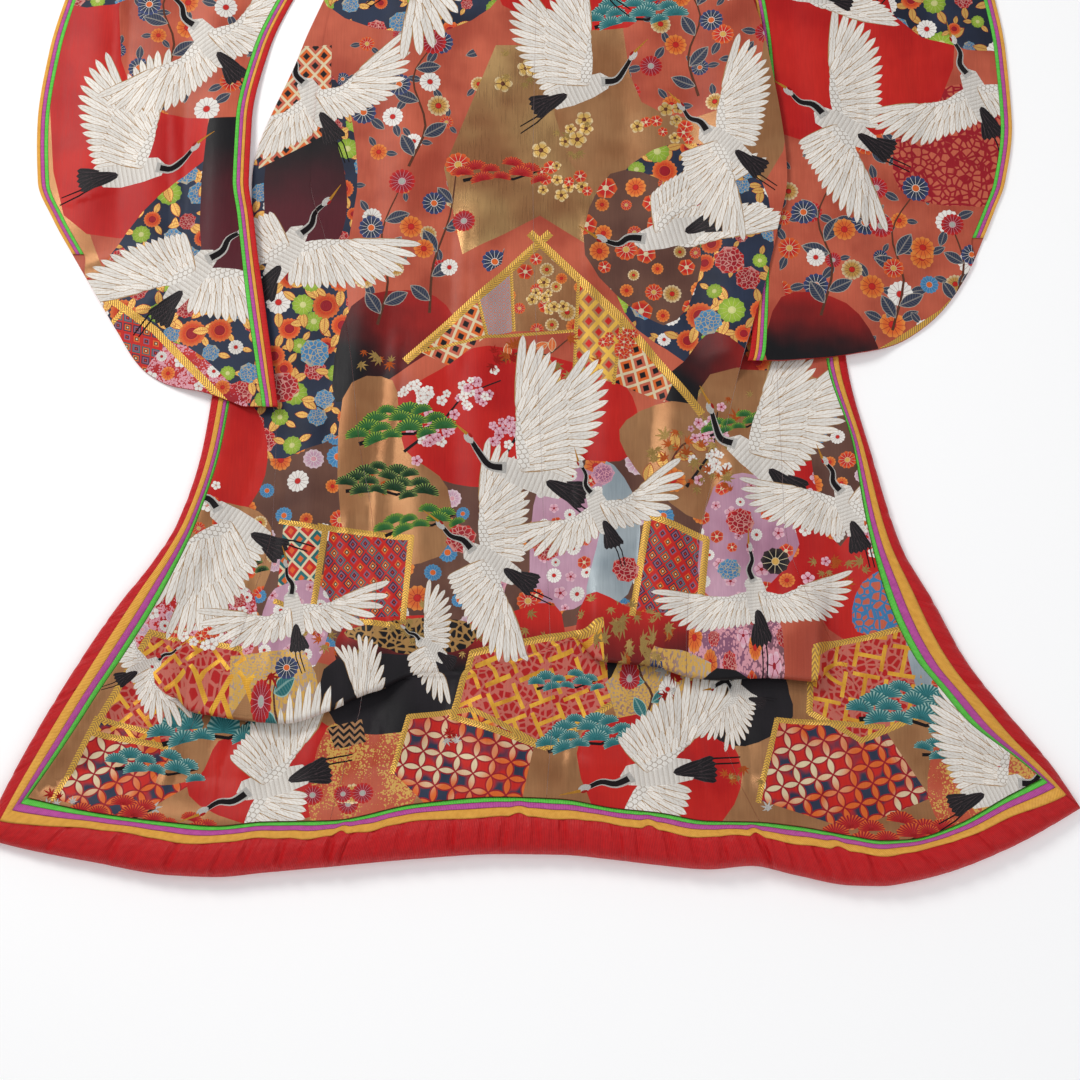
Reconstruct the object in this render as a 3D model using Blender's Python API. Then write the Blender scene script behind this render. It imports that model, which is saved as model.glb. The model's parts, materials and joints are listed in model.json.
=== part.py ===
"""Uchikake wedding kimono, laid flat with its back side up.

X runs across the garment, Y from the hem towards the collar, Z up from the surface it lies on.
The hem is spread like a fan, the front panels are opened out to both sides, and each sleeve
lies over the front edge beside it. Sizes are in metres.
"""
import math

import bmesh
import bpy
import numpy as np

# Cloth and its layers
WALL = 0.0016               # outer cloth with its lining
SEAM_GAP = 0.0004           # left between two pieces at a seam
TRIM_WALL = 0.0012          # a folded trim strip
LAYER_STEP = 0.0026         # from the front of a sleeve up to its back
BACK_OVER_FRONT = 0.0032    # lift of the back where the fronts lie under it
SLEEVE_OVER_EDGE = 0.0135   # lift of a sleeve where it lies on the front edge
EDGE_OVER_SLEEVE = 0.0200   # lift of the right back where it lies on the sleeve

# Body lengths
SHOULDER_Y = 1.76
NECK_DIP = 0.016
NECK_HALF = 0.085
OKUMI_TOP_Y = 1.01

# Seam lines: where each seam crosses a given height above the lowest point of the hem
SEAM_COLUMNS = ("height", "edge_left", "okumi_left", "side_left", "centre",
                "side_right", "okumi_right", "edge_right")
SEAM_ROWS = (
    (0.060, -0.787, -0.635, -0.310, 0.005, 0.335, 0.638, 0.854),
    (0.100, -0.760, -0.606, -0.301, 0.008, 0.312, 0.596, 0.801),
    (0.150, -0.727, -0.571, -0.291, 0.011, 0.291, 0.550, 0.735),
    (0.190, -0.702, -0.542, -0.283, 0.014, 0.277, 0.518, 0.687),
    (0.240, -0.672, -0.508, -0.270, 0.018, 0.253, 0.492, 0.625),
    (0.290, -0.643, -0.477, -0.258, 0.017, 0.229, 0.468, 0.586),
    (0.335, -0.615, -0.455, -0.252, 0.016, 0.215, 0.446, 0.552),
    (0.430, -0.562, -0.428, -0.244, 0.013, 0.220, 0.396, 0.513),
    (0.545, -0.513, -0.402, -0.251, 0.006, 0.243, 0.368, 0.488),
    (0.670, -0.480, -0.400, -0.274, 0.001, 0.276, 0.365, 0.471),
    (0.800, -0.466, -0.418, -0.288, -0.004, 0.308, 0.362, 0.437),
    (0.920, -0.462, -0.438, -0.309, -0.008, 0.345, 0.385, 0.430),
    (1.010, -0.460, -0.446, -0.335, -0.010, 0.367, 0.400, 0.425),
    (1.100, -0.458, -0.450, -0.358, -0.011, 0.384, 0.410, 0.424),
    (1.320, -0.390, -0.380, -0.345, -0.008, 0.360, 0.334, 0.390),
    (1.540, -0.330, -0.312, -0.312, 0.000, 0.312, 0.312, 0.330),
    (1.760, -0.330, -0.312, -0.312, 0.000, 0.312, 0.312, 0.330),
)
# The inner line of each front where it runs in under the back, up to the neck
FRONT_INNER_COLUMNS = ("height", "left", "right")
FRONT_INNER_ROWS = (
    (1.010, -0.335, 0.367),
    (1.100, -0.358, 0.384),
    (1.320, -0.262, 0.272),
    (1.540, -0.168, 0.168),
    (1.760, -0.112, 0.112),
)

# Hem: the cloth's edge and the outer edge of the padded roll, by place across
HEM_COLUMNS = ("across", "cloth_edge", "roll_edge", "roll_height")
HEM_ROWS = (
    (-0.806, 0.142, 0.069, 0.025),
    (-0.742, 0.127, 0.053, 0.025),
    (-0.642, 0.105, 0.034, 0.032),
    (-0.538, 0.091, 0.016, 0.036),
    (-0.465, 0.085, 0.013, 0.038),
    (-0.401, 0.091, 0.019, 0.038),
    (-0.301, 0.093, 0.028, 0.038),
    (-0.179, 0.117, 0.039, 0.040),
    (-0.061, 0.127, 0.046, 0.040),
    (0.029, 0.124, 0.045, 0.040),
    (0.105, 0.111, 0.038, 0.040),
    (0.172, 0.104, 0.030, 0.040),
    (0.243, 0.092, 0.024, 0.040),
    (0.306, 0.091, 0.029, 0.038),
    (0.368, 0.085, 0.016, 0.038),
    (0.447, 0.071, 0.001, 0.038),
    (0.493, 0.064, 0.000, 0.038),
    (0.534, 0.066, 0.006, 0.036),
    (0.596, 0.085, 0.022, 0.034),
    (0.681, 0.131, 0.056, 0.030),
    (0.728, 0.155, 0.080, 0.025),
    (0.785, 0.184, 0.113, 0.025),
)
CORNER_LEFT = -0.742        # where the cloth's hem meets its left edge, across
CORNER_RIGHT = 0.728
TIP_LEFT = -0.806           # the roll's own pointed corners
TIP_RIGHT = 0.785

# Front edges: the outer side of the padded roll, by height, and how high it stands
EDGE_COLUMNS = ("height", "outer", "roll_height")
EDGE_LEFT_ROWS = (
    (0.069, -0.806, 0.025),
    (0.128, -0.784, 0.025),
    (0.221, -0.740, 0.022),
    (0.344, -0.672, 0.022),
    (0.420, -0.624, 0.021),
    (0.480, -0.580, 0.020),
    (0.541, -0.545, 0.018),
    (0.648, -0.513, 0.014),
    (0.741, -0.500, 0.009),
    (0.800, -0.494, 0.008),
)
EDGE_RIGHT_ROWS = (
    (0.113, 0.785, 0.025),
    (0.171, 0.750, 0.025),
    (0.215, 0.717, 0.022),
    (0.269, 0.674, 0.022),
    (0.334, 0.628, 0.021),
    (0.425, 0.583, 0.020),
    (0.508, 0.540, 0.018),
    (0.648, 0.502, 0.014),
    (0.790, 0.470, 0.009),
    (0.860, 0.464, 0.008),
)

# Cross-section of the roll and the trims on it, as shares of the way from cloth edge to roll edge
ROLL_START = -0.10
ROLL_SHOULDER = 0.62        # height of the roll under the cloth's edge, as a share of its own
TRIM_SHARE_HEM = 0.37
TRIM_SHARE_EDGE = 0.60
TRIM_SHARE_BLEND = 0.07     # along the hem from a corner, as a share of the hem
TRIM_NAMES = ("green", "purple", "yellow")
TRIM_ENDS = (0.0, 0.26, 0.55, 1.0)
TRIM_LIFTS = (0.0011, 0.0007, 0.0003)
CLOTH_ON_TRIM = 0.0046      # from the roll's shoulder to the underside of the cloth's edge
HEM_RISE_REACH = 0.075
EDGE_RISE_REACH = 0.050
EDGE_SHARE_ASIDE = 0.88     # the edge line slants, so a run across it counts for less
HEM_STATIONS = 46
EDGE_STATIONS = 16

# The cross tuck where the cloth pouches over, by place across; strength 1 folds it right over
TUCK_COLUMNS = ("across", "height", "strength")
TUCK_ROWS = (
    (-0.800, 0.285, 0.00),
    (-0.570, 0.280, 0.00),
    (-0.540, 0.278, 0.20),
    (-0.508, 0.274, 1.00),
    (-0.430, 0.262, 1.00),
    (-0.372, 0.258, 1.00),
    (-0.310, 0.276, 1.00),
    (-0.244, 0.304, 0.95),
    (-0.180, 0.312, 0.25),
    (-0.110, 0.316, 0.18),
    (0.000, 0.345, 0.18),
    (0.050, 0.368, 0.25),
    (0.085, 0.352, 1.00),
    (0.172, 0.342, 1.00),
    (0.217, 0.326, 0.95),
    (0.260, 0.322, 1.00),
    (0.333, 0.326, 1.00),
    (0.405, 0.320, 1.00),
    (0.428, 0.321, 0.28),
    (0.446, 0.320, 0.00),
    (0.800, 0.310, 0.00),
)
TUCK_HALF = 0.040           # half of the flat stretch that the tuck takes up
TUCK_OVERHANG = 0.014
TUCK_RADIUS = 0.0062
TUCK_FALL = 0.13            # over which the pouch above settles back onto the surface
ARC_STEPS = 4

# Long soft folds in the body: where each starts and ends, half its width, and its height
# Columns: from_x, from_y, to_x, to_y, half_width, height
FOLD_ROWS = (
    (-0.590, 0.19, -0.500, 0.40, 0.045, 0.007),
    (-0.455, 0.12, -0.405, 0.22, 0.040, 0.010),
    (-0.345, 0.12, -0.320, 0.24, 0.045, 0.011),
    (-0.225, 0.13, -0.190, 0.27, 0.050, 0.009),
    (-0.085, 0.15, -0.070, 0.29, 0.050, 0.008),
    (0.085, 0.14, 0.095, 0.29, 0.045, 0.008),
    (0.205, 0.12, 0.165, 0.28, 0.045, 0.010),
    (0.345, 0.12, 0.325, 0.26, 0.045, 0.010),
    (0.470, 0.12, 0.420, 0.26, 0.045, 0.010),
    (0.590, 0.16, 0.505, 0.33, 0.045, 0.006),
    (-0.335, 0.34, -0.350, 0.70, 0.040, 0.010),
    (-0.170, 0.36, -0.190, 0.80, 0.048, 0.009),
    (-0.085, 0.42, -0.095, 1.05, 0.045, 0.006),
    (-0.300, 0.62, -0.262, 0.95, 0.040, 0.006),
    (0.100, 0.42, 0.115, 0.85, 0.045, 0.008),
    (0.180, 0.40, 0.215, 0.78, 0.042, 0.009),
    (0.275, 0.37, 0.300, 0.66, 0.040, 0.010),
    (0.385, 0.36, 0.395, 0.60, 0.040, 0.008),
    (-0.210, 0.95, -0.200, 1.45, 0.055, 0.005),
    (0.190, 0.95, 0.170, 1.45, 0.055, 0.005),
)
FOLD_FADE = 0.07

# Sleeves: the free inner (furi) line, where its trims end, and the outer line, by height
SLEEVE_COLUMNS = ("height", "trim_end", "furi", "outer")
SLEEVE_LEFT_ROWS = (
    (0.724, -0.397, -0.421, -0.450),
    (0.745, -0.400, -0.424, -0.503),
    (0.764, -0.403, -0.428, -0.570),
    (0.793, -0.407, -0.433, -0.612),
    (0.851, -0.416, -0.443, -0.650),
    (0.915, -0.426, -0.453, -0.688),
    (0.976, -0.436, -0.461, -0.724),
    (1.036, -0.444, -0.469, -0.758),
    (1.096, -0.453, -0.478, -0.784),
    (1.200, -0.452, -0.477, -0.790),
    (1.320, -0.430, -0.455, -0.778),
    (1.430, -0.384, -0.409, -0.752),
    (1.540, -0.3122, -0.338, -0.720),
    (1.650, -0.3122, -0.338, -0.688),
    (1.760, -0.3122, -0.338, -0.660),
)
SLEEVE_RIGHT_ROWS = (
    (0.798, 0.316, 0.340, 0.370),
    (0.803, 0.318, 0.342, 0.440),
    (0.818, 0.321, 0.345, 0.517),
    (0.842, 0.324, 0.347, 0.570),
    (0.888, 0.328, 0.350, 0.623),
    (0.950, 0.333, 0.353, 0.664),
    (1.003, 0.337, 0.356, 0.688),
    (1.050, 0.341, 0.360, 0.708),
    (1.096, 0.345, 0.366, 0.726),
    (1.200, 0.349, 0.372, 0.742),
    (1.320, 0.345, 0.368, 0.738),
    (1.430, 0.333, 0.356, 0.722),
    (1.540, 0.3122, 0.338, 0.700),
    (1.650, 0.3122, 0.338, 0.680),
    (1.760, 0.3122, 0.338, 0.660),
)
# Trim strips along a sleeve: each from one share of the trim's width to the next
FURI_BANDS = (
    ("green", 0.00, 0.24),
    ("purple", 0.24, 0.46),
    ("yellow", 0.46, 0.66),
    ("red", 0.66, 1.00),
)
# Each from one distance inside the outer line to the next
CUFF_BANDS = (("green", 0.018, 0.012), ("purple", 0.012, 0.006), ("yellow", 0.006, 0.0))
CUFF_TRIM = 0.018
CUFF_LEAST = 0.004
CUFF_BOTTOM_ROW = 6         # the cuff is sewn shut below this row of a sleeve's table
SLEEVE_COLUMNS_ACROSS = 7
# Columns as in the body's folds
SLEEVE_FOLD_ROWS = (
    (-0.600, 0.82, -0.610, 1.40, 0.055, 0.006),
    (-0.500, 0.98, -0.520, 1.50, 0.050, 0.005),
    (-0.705, 1.02, -0.700, 1.60, 0.050, 0.005),
    (0.560, 0.90, 0.560, 1.45, 0.055, 0.006),
    (0.460, 0.98, 0.440, 1.50, 0.050, 0.005),
    (0.655, 1.02, 0.640, 1.60, 0.050, 0.005),
)
SLEEVE_REST_LEFT = -0.505   # outside this line the left sleeve starts down to the surface
SLEEVE_REST_RIGHT = 0.482
SLEEVE_SETTLE = 0.075

# Lift of the right back's outer margin over the sleeve, by height
MARGIN_COLUMNS = ("height", "lift")
MARGIN_ROWS = (
    (0.700, 0.0),
    (0.760, 0.0),
    (0.815, 1.0),
    (1.120, 1.0),
    (1.280, 0.70),
    (1.400, 0.45),
    (1.520, 0.0),
    (1.760, 0.0),
)
MARGIN_START = 0.225
MARGIN_FULL = 0.300

# Collar: the middle line of its folded band round the back of the neck
COLLAR_POINTS = (
    (-0.205, 1.36),
    (-0.136, 1.52),
    (-0.092, 1.66),
    (-0.074, 1.752),
    (-0.040, 1.796),
    (0.0, 1.808),
)
COLLAR_HALF = 0.024
COLLAR_WALL = 0.0026
COLLAR_STEPS = 26

BODY_HEIGHTS = (0.470, 0.520, 0.580, 0.640, 0.700, 0.760, 0.820, 0.880, 0.940, 1.010, 1.100, 1.210, 1.320,
                1.430, 1.540, 1.650, 1.760)
BODY_LOW_ROWS = 4
BACK_ACROSS = 10
FRONT_ACROSS = 7
OKUMI_ACROSS = 4

COLOURS = {
    "brocade": (0.62, 0.20, 0.10, 1.0),
    "fuki_red": (0.55, 0.02, 0.02, 1.0),
    "green": (0.13, 0.55, 0.10, 1.0),
    "purple": (0.36, 0.08, 0.36, 1.0),
    "yellow": (0.82, 0.42, 0.05, 1.0),
    "red": (0.55, 0.02, 0.02, 1.0),
}


class Table:
    """A smooth curve through each named column of a short table, read by its first column."""

    def __init__(self, columns, rows):
        self.columns = columns
        self.data = np.array(rows, dtype=float)

    def __call__(self, name, where):
        keys = self.data[:, 0]
        values = self.data[:, self.columns.index(name)]
        where = min(max(where, keys[0]), keys[-1])
        k = int(min(max(np.searchsorted(keys, where) - 1, 0), len(keys) - 2))
        span = keys[k + 1] - keys[k]
        t = (where - keys[k]) / span
        slopes = [self._slope(keys, values, i) for i in (k, k + 1)]
        a = (1 + 2 * t) * (1 - t) ** 2 * values[k]
        b = t * (1 - t) ** 2 * span * slopes[0]
        c = t * t * (3 - 2 * t) * values[k + 1]
        d = t * t * (t - 1) * span * slopes[1]
        return a + b + c + d

    @staticmethod
    def _slope(keys, values, i):
        if i == 0 or i == len(keys) - 1:
            j = min(max(i, 1), len(keys) - 1)
            return (values[j] - values[j - 1]) / (keys[j] - keys[j - 1])
        before = (values[i] - values[i - 1]) / (keys[i] - keys[i - 1])
        after = (values[i + 1] - values[i]) / (keys[i + 1] - keys[i])
        if before * after <= 0:
            return 0.0
        return 2 * before * after / (before + after)


SEAMS = Table(SEAM_COLUMNS, SEAM_ROWS)
FRONT_INNER = Table(FRONT_INNER_COLUMNS, FRONT_INNER_ROWS)
HEM = Table(HEM_COLUMNS, HEM_ROWS)
EDGES = {"left": Table(EDGE_COLUMNS, EDGE_LEFT_ROWS), "right": Table(EDGE_COLUMNS, EDGE_RIGHT_ROWS)}
TUCK = Table(TUCK_COLUMNS, TUCK_ROWS)
SLEEVES = {"left": Table(SLEEVE_COLUMNS, SLEEVE_LEFT_ROWS), "right": Table(SLEEVE_COLUMNS, SLEEVE_RIGHT_ROWS)}
MARGIN = Table(MARGIN_COLUMNS, MARGIN_ROWS)


def ramp(value, low, high):
    t = min(max((value - low) / (high - low), 0.0), 1.0)
    return t * t * (3 - 2 * t)


def bump(t):
    return (1 - t * t) ** 2 if abs(t) < 1 else 0.0


def fold_height(rows, x, y):
    """Height of the long soft folds at a place: each is a low rounded ridge that dies out at its ends."""
    total = 0.0
    for from_x, from_y, to_x, to_y, half_width, height in rows:
        run_x, run_y = to_x - from_x, to_y - from_y
        length = math.hypot(run_x, run_y)
        along = ((x - from_x) * run_x + (y - from_y) * run_y) / length
        aside = abs((x - from_x) * run_y - (y - from_y) * run_x) / length
        ends = ramp(along, -FOLD_FADE, FOLD_FADE) * (1 - ramp(along, length - FOLD_FADE, length + FOLD_FADE))
        total += height * bump(aside / half_width) * ends
    return total


def boundary_lift(height):
    return ROLL_SHOULDER * height + CLOTH_ON_TRIM


def edge_rise(x, y):
    """How far the body's cloth stands up where it runs onto the padded roll, and the share of it."""
    parts = [(boundary_lift(HEM("roll_height", x)), (y - HEM("cloth_edge", x)) / HEM_RISE_REACH)]
    for side, sign in (("left", 1), ("right", -1)):
        if y < EDGES[side].data[-1, 0] + EDGE_RISE_REACH:
            aside = sign * (x - SEAMS("edge_" + side, y))
            fade = 1 - ramp(y, EDGES[side].data[-1, 0], EDGES[side].data[-1, 0] + EDGE_RISE_REACH)
            lift = boundary_lift(EDGES[side]("roll_height", y)) * fade
            parts.append((lift, EDGE_SHARE_ASIDE * aside / EDGE_RISE_REACH))
    rises = [(lift * bump(max(t, 0.0)), bump(max(t, 0.0))) for lift, t in parts]
    return max(rise for rise, _ in rises), max(share for _, share in rises)


def tuck_path(t):
    """The folded-over path of the tuck: t from -1 to 1 gives its run up the cloth and its height."""
    straight = TUCK_HALF + TUCK_OVERHANG
    arc = math.pi * TUCK_RADIUS
    back = 2 * TUCK_OVERHANG
    s = (t + 1) / 2 * (2 * straight + 2 * arc + back)
    if s < straight:
        return -TUCK_HALF + s, 0.0
    s -= straight
    if s < arc:
        angle = s / TUCK_RADIUS
        return TUCK_OVERHANG + TUCK_RADIUS * math.sin(angle), TUCK_RADIUS * (1 - math.cos(angle))
    s -= arc
    if s < back:
        return TUCK_OVERHANG - s, 2 * TUCK_RADIUS
    s -= back
    if s < arc:
        angle = s / TUCK_RADIUS
        return -TUCK_OVERHANG - TUCK_RADIUS * math.sin(angle), TUCK_RADIUS * (3 - math.cos(angle))
    return -TUCK_OVERHANG + s - arc, 4 * TUCK_RADIUS


def tuck_stops():
    """The values of t at which the tuck's path gets a row of points."""
    straight = TUCK_HALF + TUCK_OVERHANG
    arc = math.pi * TUCK_RADIUS
    back = 2 * TUCK_OVERHANG
    whole = 2 * straight + 2 * arc + back
    marks = [0.0, straight * 0.6]
    marks += [straight + arc * k / ARC_STEPS for k in range(ARC_STEPS + 1)]
    marks += [straight + arc + back + arc * k / ARC_STEPS for k in range(ARC_STEPS + 1)]
    marks += [straight + 2 * arc + back + straight * 0.4, whole]
    return [2 * mark / whole - 1 for mark in marks]


def body_point(x, y, layer):
    """The underside of the body's cloth over a place of its flat plan; y counts through the tuck."""
    line = TUCK("height", x)
    strength = TUCK("strength", x)
    t = (y - line) / TUCK_HALF
    out_y, rise = y, 0.0
    if -1 < t < 1:
        fold_y, fold_z = tuck_path(t)
        out_y = y + strength * (line + fold_y - y)
        rise = strength * fold_z
    elif t >= 1:
        rise = strength * 4 * TUCK_RADIUS * (1 - ramp(y, line + TUCK_HALF, line + TUCK_HALF + TUCK_FALL))
    up, share = edge_rise(x, y)
    z = max(up, 0.0) + (rise + fold_height(FOLD_ROWS, x, y)) * (1 - share)
    if layer == "back":
        z += BACK_OVER_FRONT * ramp(y, 0.98, 1.06)
        z += EDGE_OVER_SLEEVE * MARGIN("lift", y) * ramp(x, MARGIN_START, MARGIN_FULL)
    if layer == "front":
        z *= 1 - ramp(y, 0.88, 0.98)
    return np.array((x, out_y, z))


def body_normal(x, y, layer):
    step = 0.0004
    across = body_point(x + step, y, layer) - body_point(x - step, y, layer)
    along = body_point(x, y + step, layer) - body_point(x, y - step, layer)
    normal = np.cross(across, along)
    return normal / np.linalg.norm(normal)


def body_rows():
    """Each row of the body's points, as a function from a place across to a height on the flat plan."""
    rows = []
    for k in range(BODY_LOW_ROWS):
        share = k / BODY_LOW_ROWS
        rows.append(lambda x, s=share: HEM("cloth_edge", x) * (1 - s) + (TUCK("height", x) - TUCK_HALF) * s)
    for t in tuck_stops():
        rows.append(lambda x, t=t: TUCK("height", x) + TUCK_HALF * t)
    rows.append(lambda x: (TUCK("height", x) + TUCK_HALF) * 0.5 + BODY_HEIGHTS[0] * 0.5)
    for height in BODY_HEIGHTS:
        rows.append(lambda x, h=height: h)
    return rows


def seam_x(name, y):
    """Where a seam or panel edge lies at a height; the fronts have their own inner line under the back."""
    if name.startswith("front_inner"):
        side = name.split("_")[-1]
        if y > FRONT_INNER_ROWS[0][0]:
            return FRONT_INNER(side, y)
        return SEAMS("side_" + side, y)
    return SEAMS(name, y)


def body_panel(left, right, across, layer, top=SHOULDER_Y, neck=False):
    """Points and normals of a panel between two seam lines, row by row from the hem up."""
    points, normals = [], []
    for row in body_rows():
        line, line_normals = [], []
        for k in range(across + 1):
            share = k / across
            y = row(SEAMS("centre", 0.4))
            for _ in range(12):
                low = seam_x(left, y) + SEAM_GAP / 2
                high = seam_x(right, y) - SEAM_GAP / 2
                x = low + (high - low) * share
                y = row(x)
            if neck and y > SHOULDER_Y - 1e-6:
                y -= NECK_DIP * bump(x / NECK_HALF)
            line.append(body_point(x, y, layer))
            line_normals.append(body_normal(x, y, layer))
        if row(0.0) > top + 1e-6:
            break
        points.append(line)
        normals.append(line_normals)
    return points, normals


def sleeve_lift(side, x, y):
    """Where a sleeve lies over the front edge it is lifted; further out it rests on the surface."""
    if side == "left":
        inside = ramp(x, SLEEVE_REST_LEFT - SLEEVE_SETTLE, SLEEVE_REST_LEFT)
    else:
        inside = 1 - ramp(x, SLEEVE_REST_RIGHT, SLEEVE_REST_RIGHT + SLEEVE_SETTLE)
    return SLEEVE_OVER_EDGE * inside * (1 - ramp(y, 1.05, 1.40))


def sleeve_point(side, x, y, layer):
    z = sleeve_lift(side, x, y) + fold_height(SLEEVE_FOLD_ROWS, x, y) * ramp(y, 0.80, 0.95)
    return np.array((x, y, z + layer * LAYER_STEP))


def sleeve_normal(side, x, y, layer):
    step = 0.0004
    across = sleeve_point(side, x + step, y, layer) - sleeve_point(side, x - step, y, layer)
    along = sleeve_point(side, x, y + step, layer) - sleeve_point(side, x, y - step, layer)
    normal = np.cross(across, along)
    return normal / np.linalg.norm(normal)


def sleeve_strip(side, lines, layer, rows):
    """A stretch of a sleeve across lines that are each a function of the height."""
    points, normals = [], []
    for y in rows:
        line = sorted(place(y) for place in lines)
        line[0] += SEAM_GAP / 2
        line[-1] -= SEAM_GAP / 2
        points.append([sleeve_point(side, x, y, layer) for x in line])
        normals.append([sleeve_normal(side, x, y, layer) for x in line])
    return points, normals


def roll_profile(share):
    """Height of the roll's top over a share of the way across it, as a share of its full height."""
    keys = (ROLL_START, 0.0, 0.14, 0.30, 0.55, 0.80, 0.94, 1.0)
    heights = (0.30, ROLL_SHOULDER, 0.80, 0.93, 1.00, 0.90, 0.70, 0.42)
    return float(np.interp(share, keys, heights))


def hem_station(share):
    inner_x = CORNER_LEFT + (CORNER_RIGHT - CORNER_LEFT) * share
    outer_x = TIP_LEFT + (TIP_RIGHT - TIP_LEFT) * share
    near_corner = max(1 - share / TRIM_SHARE_BLEND, 1 - (1 - share) / TRIM_SHARE_BLEND, 0.0)
    trim_share = TRIM_SHARE_HEM + (TRIM_SHARE_EDGE - TRIM_SHARE_HEM) * ramp(near_corner, 0.0, 1.0)
    return ((inner_x, HEM("cloth_edge", inner_x)), (outer_x, HEM("roll_edge", outer_x)),
            HEM("roll_height", inner_x), trim_share)


def edge_station(side, share):
    table = EDGES[side]
    corner_x = CORNER_LEFT if side == "left" else CORNER_RIGHT
    top = table.data[-1, 0]
    inner_y = HEM("cloth_edge", corner_x) + (top - HEM("cloth_edge", corner_x)) * share
    outer_y = table.data[0, 0] + (top - table.data[0, 0]) * share
    return ((SEAMS("edge_" + side, inner_y), inner_y), (table("outer", outer_y), outer_y),
            table("roll_height", inner_y), TRIM_SHARE_EDGE)


def across_station(station, share, lift=0.0):
    inner, outer, height, _ = station
    x = inner[0] + (outer[0] - inner[0]) * share
    y = inner[1] + (outer[1] - inner[1]) * share
    return np.array((x, y, height * roll_profile(share) + lift))


def roll_section(station):
    """A ring round the roll: over its top from the cloth side, and back along its flat underside."""
    trim_share = station[3]
    marks = [ROLL_START] + [trim_share * end for end in TRIM_ENDS] + [0.72, 0.86, 0.95, 1.0]
    ring = [across_station(station, mark) for mark in marks]
    for share in (0.93, 0.5, ROLL_START + 0.06):
        low = across_station(station, share)
        low[2] = 0.0
        ring.append(low)
    return ring


def trim_section(station, k):
    """The four corners of a trim strip where it lies on the roll."""
    trim_share = station[3]
    start, end = trim_share * TRIM_ENDS[k], trim_share * TRIM_ENDS[k + 1]
    width = math.dist(station[0], station[1])
    start += SEAM_GAP / 2 / width
    end -= SEAM_GAP / 2 / width
    lift = TRIM_LIFTS[k]
    return [across_station(station, start, lift), across_station(station, end, lift),
            across_station(station, end, lift + TRIM_WALL), across_station(station, start, lift + TRIM_WALL)]


def loft(name, rings, collection, material):
    """A closed solid from rings of points, capped at both ends, with its faces turned outwards."""
    mesh = bmesh.new()
    loops = [[mesh.verts.new(point) for point in ring] for ring in rings]
    count = len(rings[0])
    for before, after in zip(loops, loops[1:]):
        for k in range(count):
            n = (k + 1) % count
            mesh.faces.new((before[k], before[n], after[n]))
            mesh.faces.new((before[k], after[n], after[k]))
    caps = [mesh.faces.new(loops[0]), mesh.faces.new(list(reversed(loops[-1])))]
    bmesh.ops.triangulate(mesh, faces=caps)
    return finish_solid(name, mesh, collection, material)


def wall(name, points, normals, thickness, collection, material):
    """A cloth wall: an underside of points, a top side moved out along the normals, and four edges."""
    mesh = bmesh.new()
    under = [[mesh.verts.new(p) for p in row] for row in points]
    over = [[mesh.verts.new(p + n * thickness) for p, n in zip(row, row_normals)]
            for row, row_normals in zip(points, normals)]
    rows, columns = len(points), len(points[0])
    for i in range(rows - 1):
        for k in range(columns - 1):
            mesh.faces.new((over[i][k], over[i][k + 1], over[i + 1][k + 1]))
            mesh.faces.new((over[i][k], over[i + 1][k + 1], over[i + 1][k]))
            mesh.faces.new((under[i][k], under[i + 1][k + 1], under[i][k + 1]))
            mesh.faces.new((under[i][k], under[i + 1][k], under[i + 1][k + 1]))
    rim = [(0, k) for k in range(columns)] + [(i, columns - 1) for i in range(1, rows)]
    rim += [(rows - 1, k) for k in range(columns - 2, -1, -1)] + [(i, 0) for i in range(rows - 2, 0, -1)]
    for a, b in zip(rim, rim[1:] + rim[:1]):
        mesh.faces.new((under[a[0]][a[1]], under[b[0]][b[1]], over[b[0]][b[1]]))
        mesh.faces.new((under[a[0]][a[1]], over[b[0]][b[1]], over[a[0]][a[1]]))
    return finish_solid(name, mesh, collection, material)


def finish_solid(name, mesh, collection, material):
    bmesh.ops.recalc_face_normals(mesh, faces=mesh.faces)
    data = bpy.data.meshes.new(name)
    mesh.to_mesh(data)
    mesh.free()
    piece = bpy.data.objects.new(name, data)
    piece.data.materials.append(material)
    collection.objects.link(piece)
    return piece


def make_material(name, colour, roughness):
    material = bpy.data.materials.new(name)
    material.use_nodes = True
    shader = material.node_tree.nodes["Principled BSDF"]
    shader.inputs["Base Color"].default_value = colour
    shader.inputs["Roughness"].default_value = roughness
    return material


def make_body(collection, cloth):
    panels = (
        ("back_left", "side_left", "centre", BACK_ACROSS, "back"),
        ("back_right", "centre", "side_right", BACK_ACROSS, "back"),
        ("front_left", "okumi_left", "front_inner_left", FRONT_ACROSS, "front"),
        ("front_right", "front_inner_right", "okumi_right", FRONT_ACROSS, "front"),
    )
    for name, left, right, across, layer in panels:
        points, normals = body_panel(left, right, across, layer, neck=layer == "back")
        wall(name, points, normals, WALL, collection, cloth)
    overlaps = (
        ("okumi_left", "edge_left", "okumi_left"),
        ("okumi_right", "okumi_right", "edge_right"),
    )
    for name, left, right in overlaps:
        points, normals = body_panel(left, right, OKUMI_ACROSS, "front", top=OKUMI_TOP_Y)
        wall(name, points, normals, WALL, collection, cloth)


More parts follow.
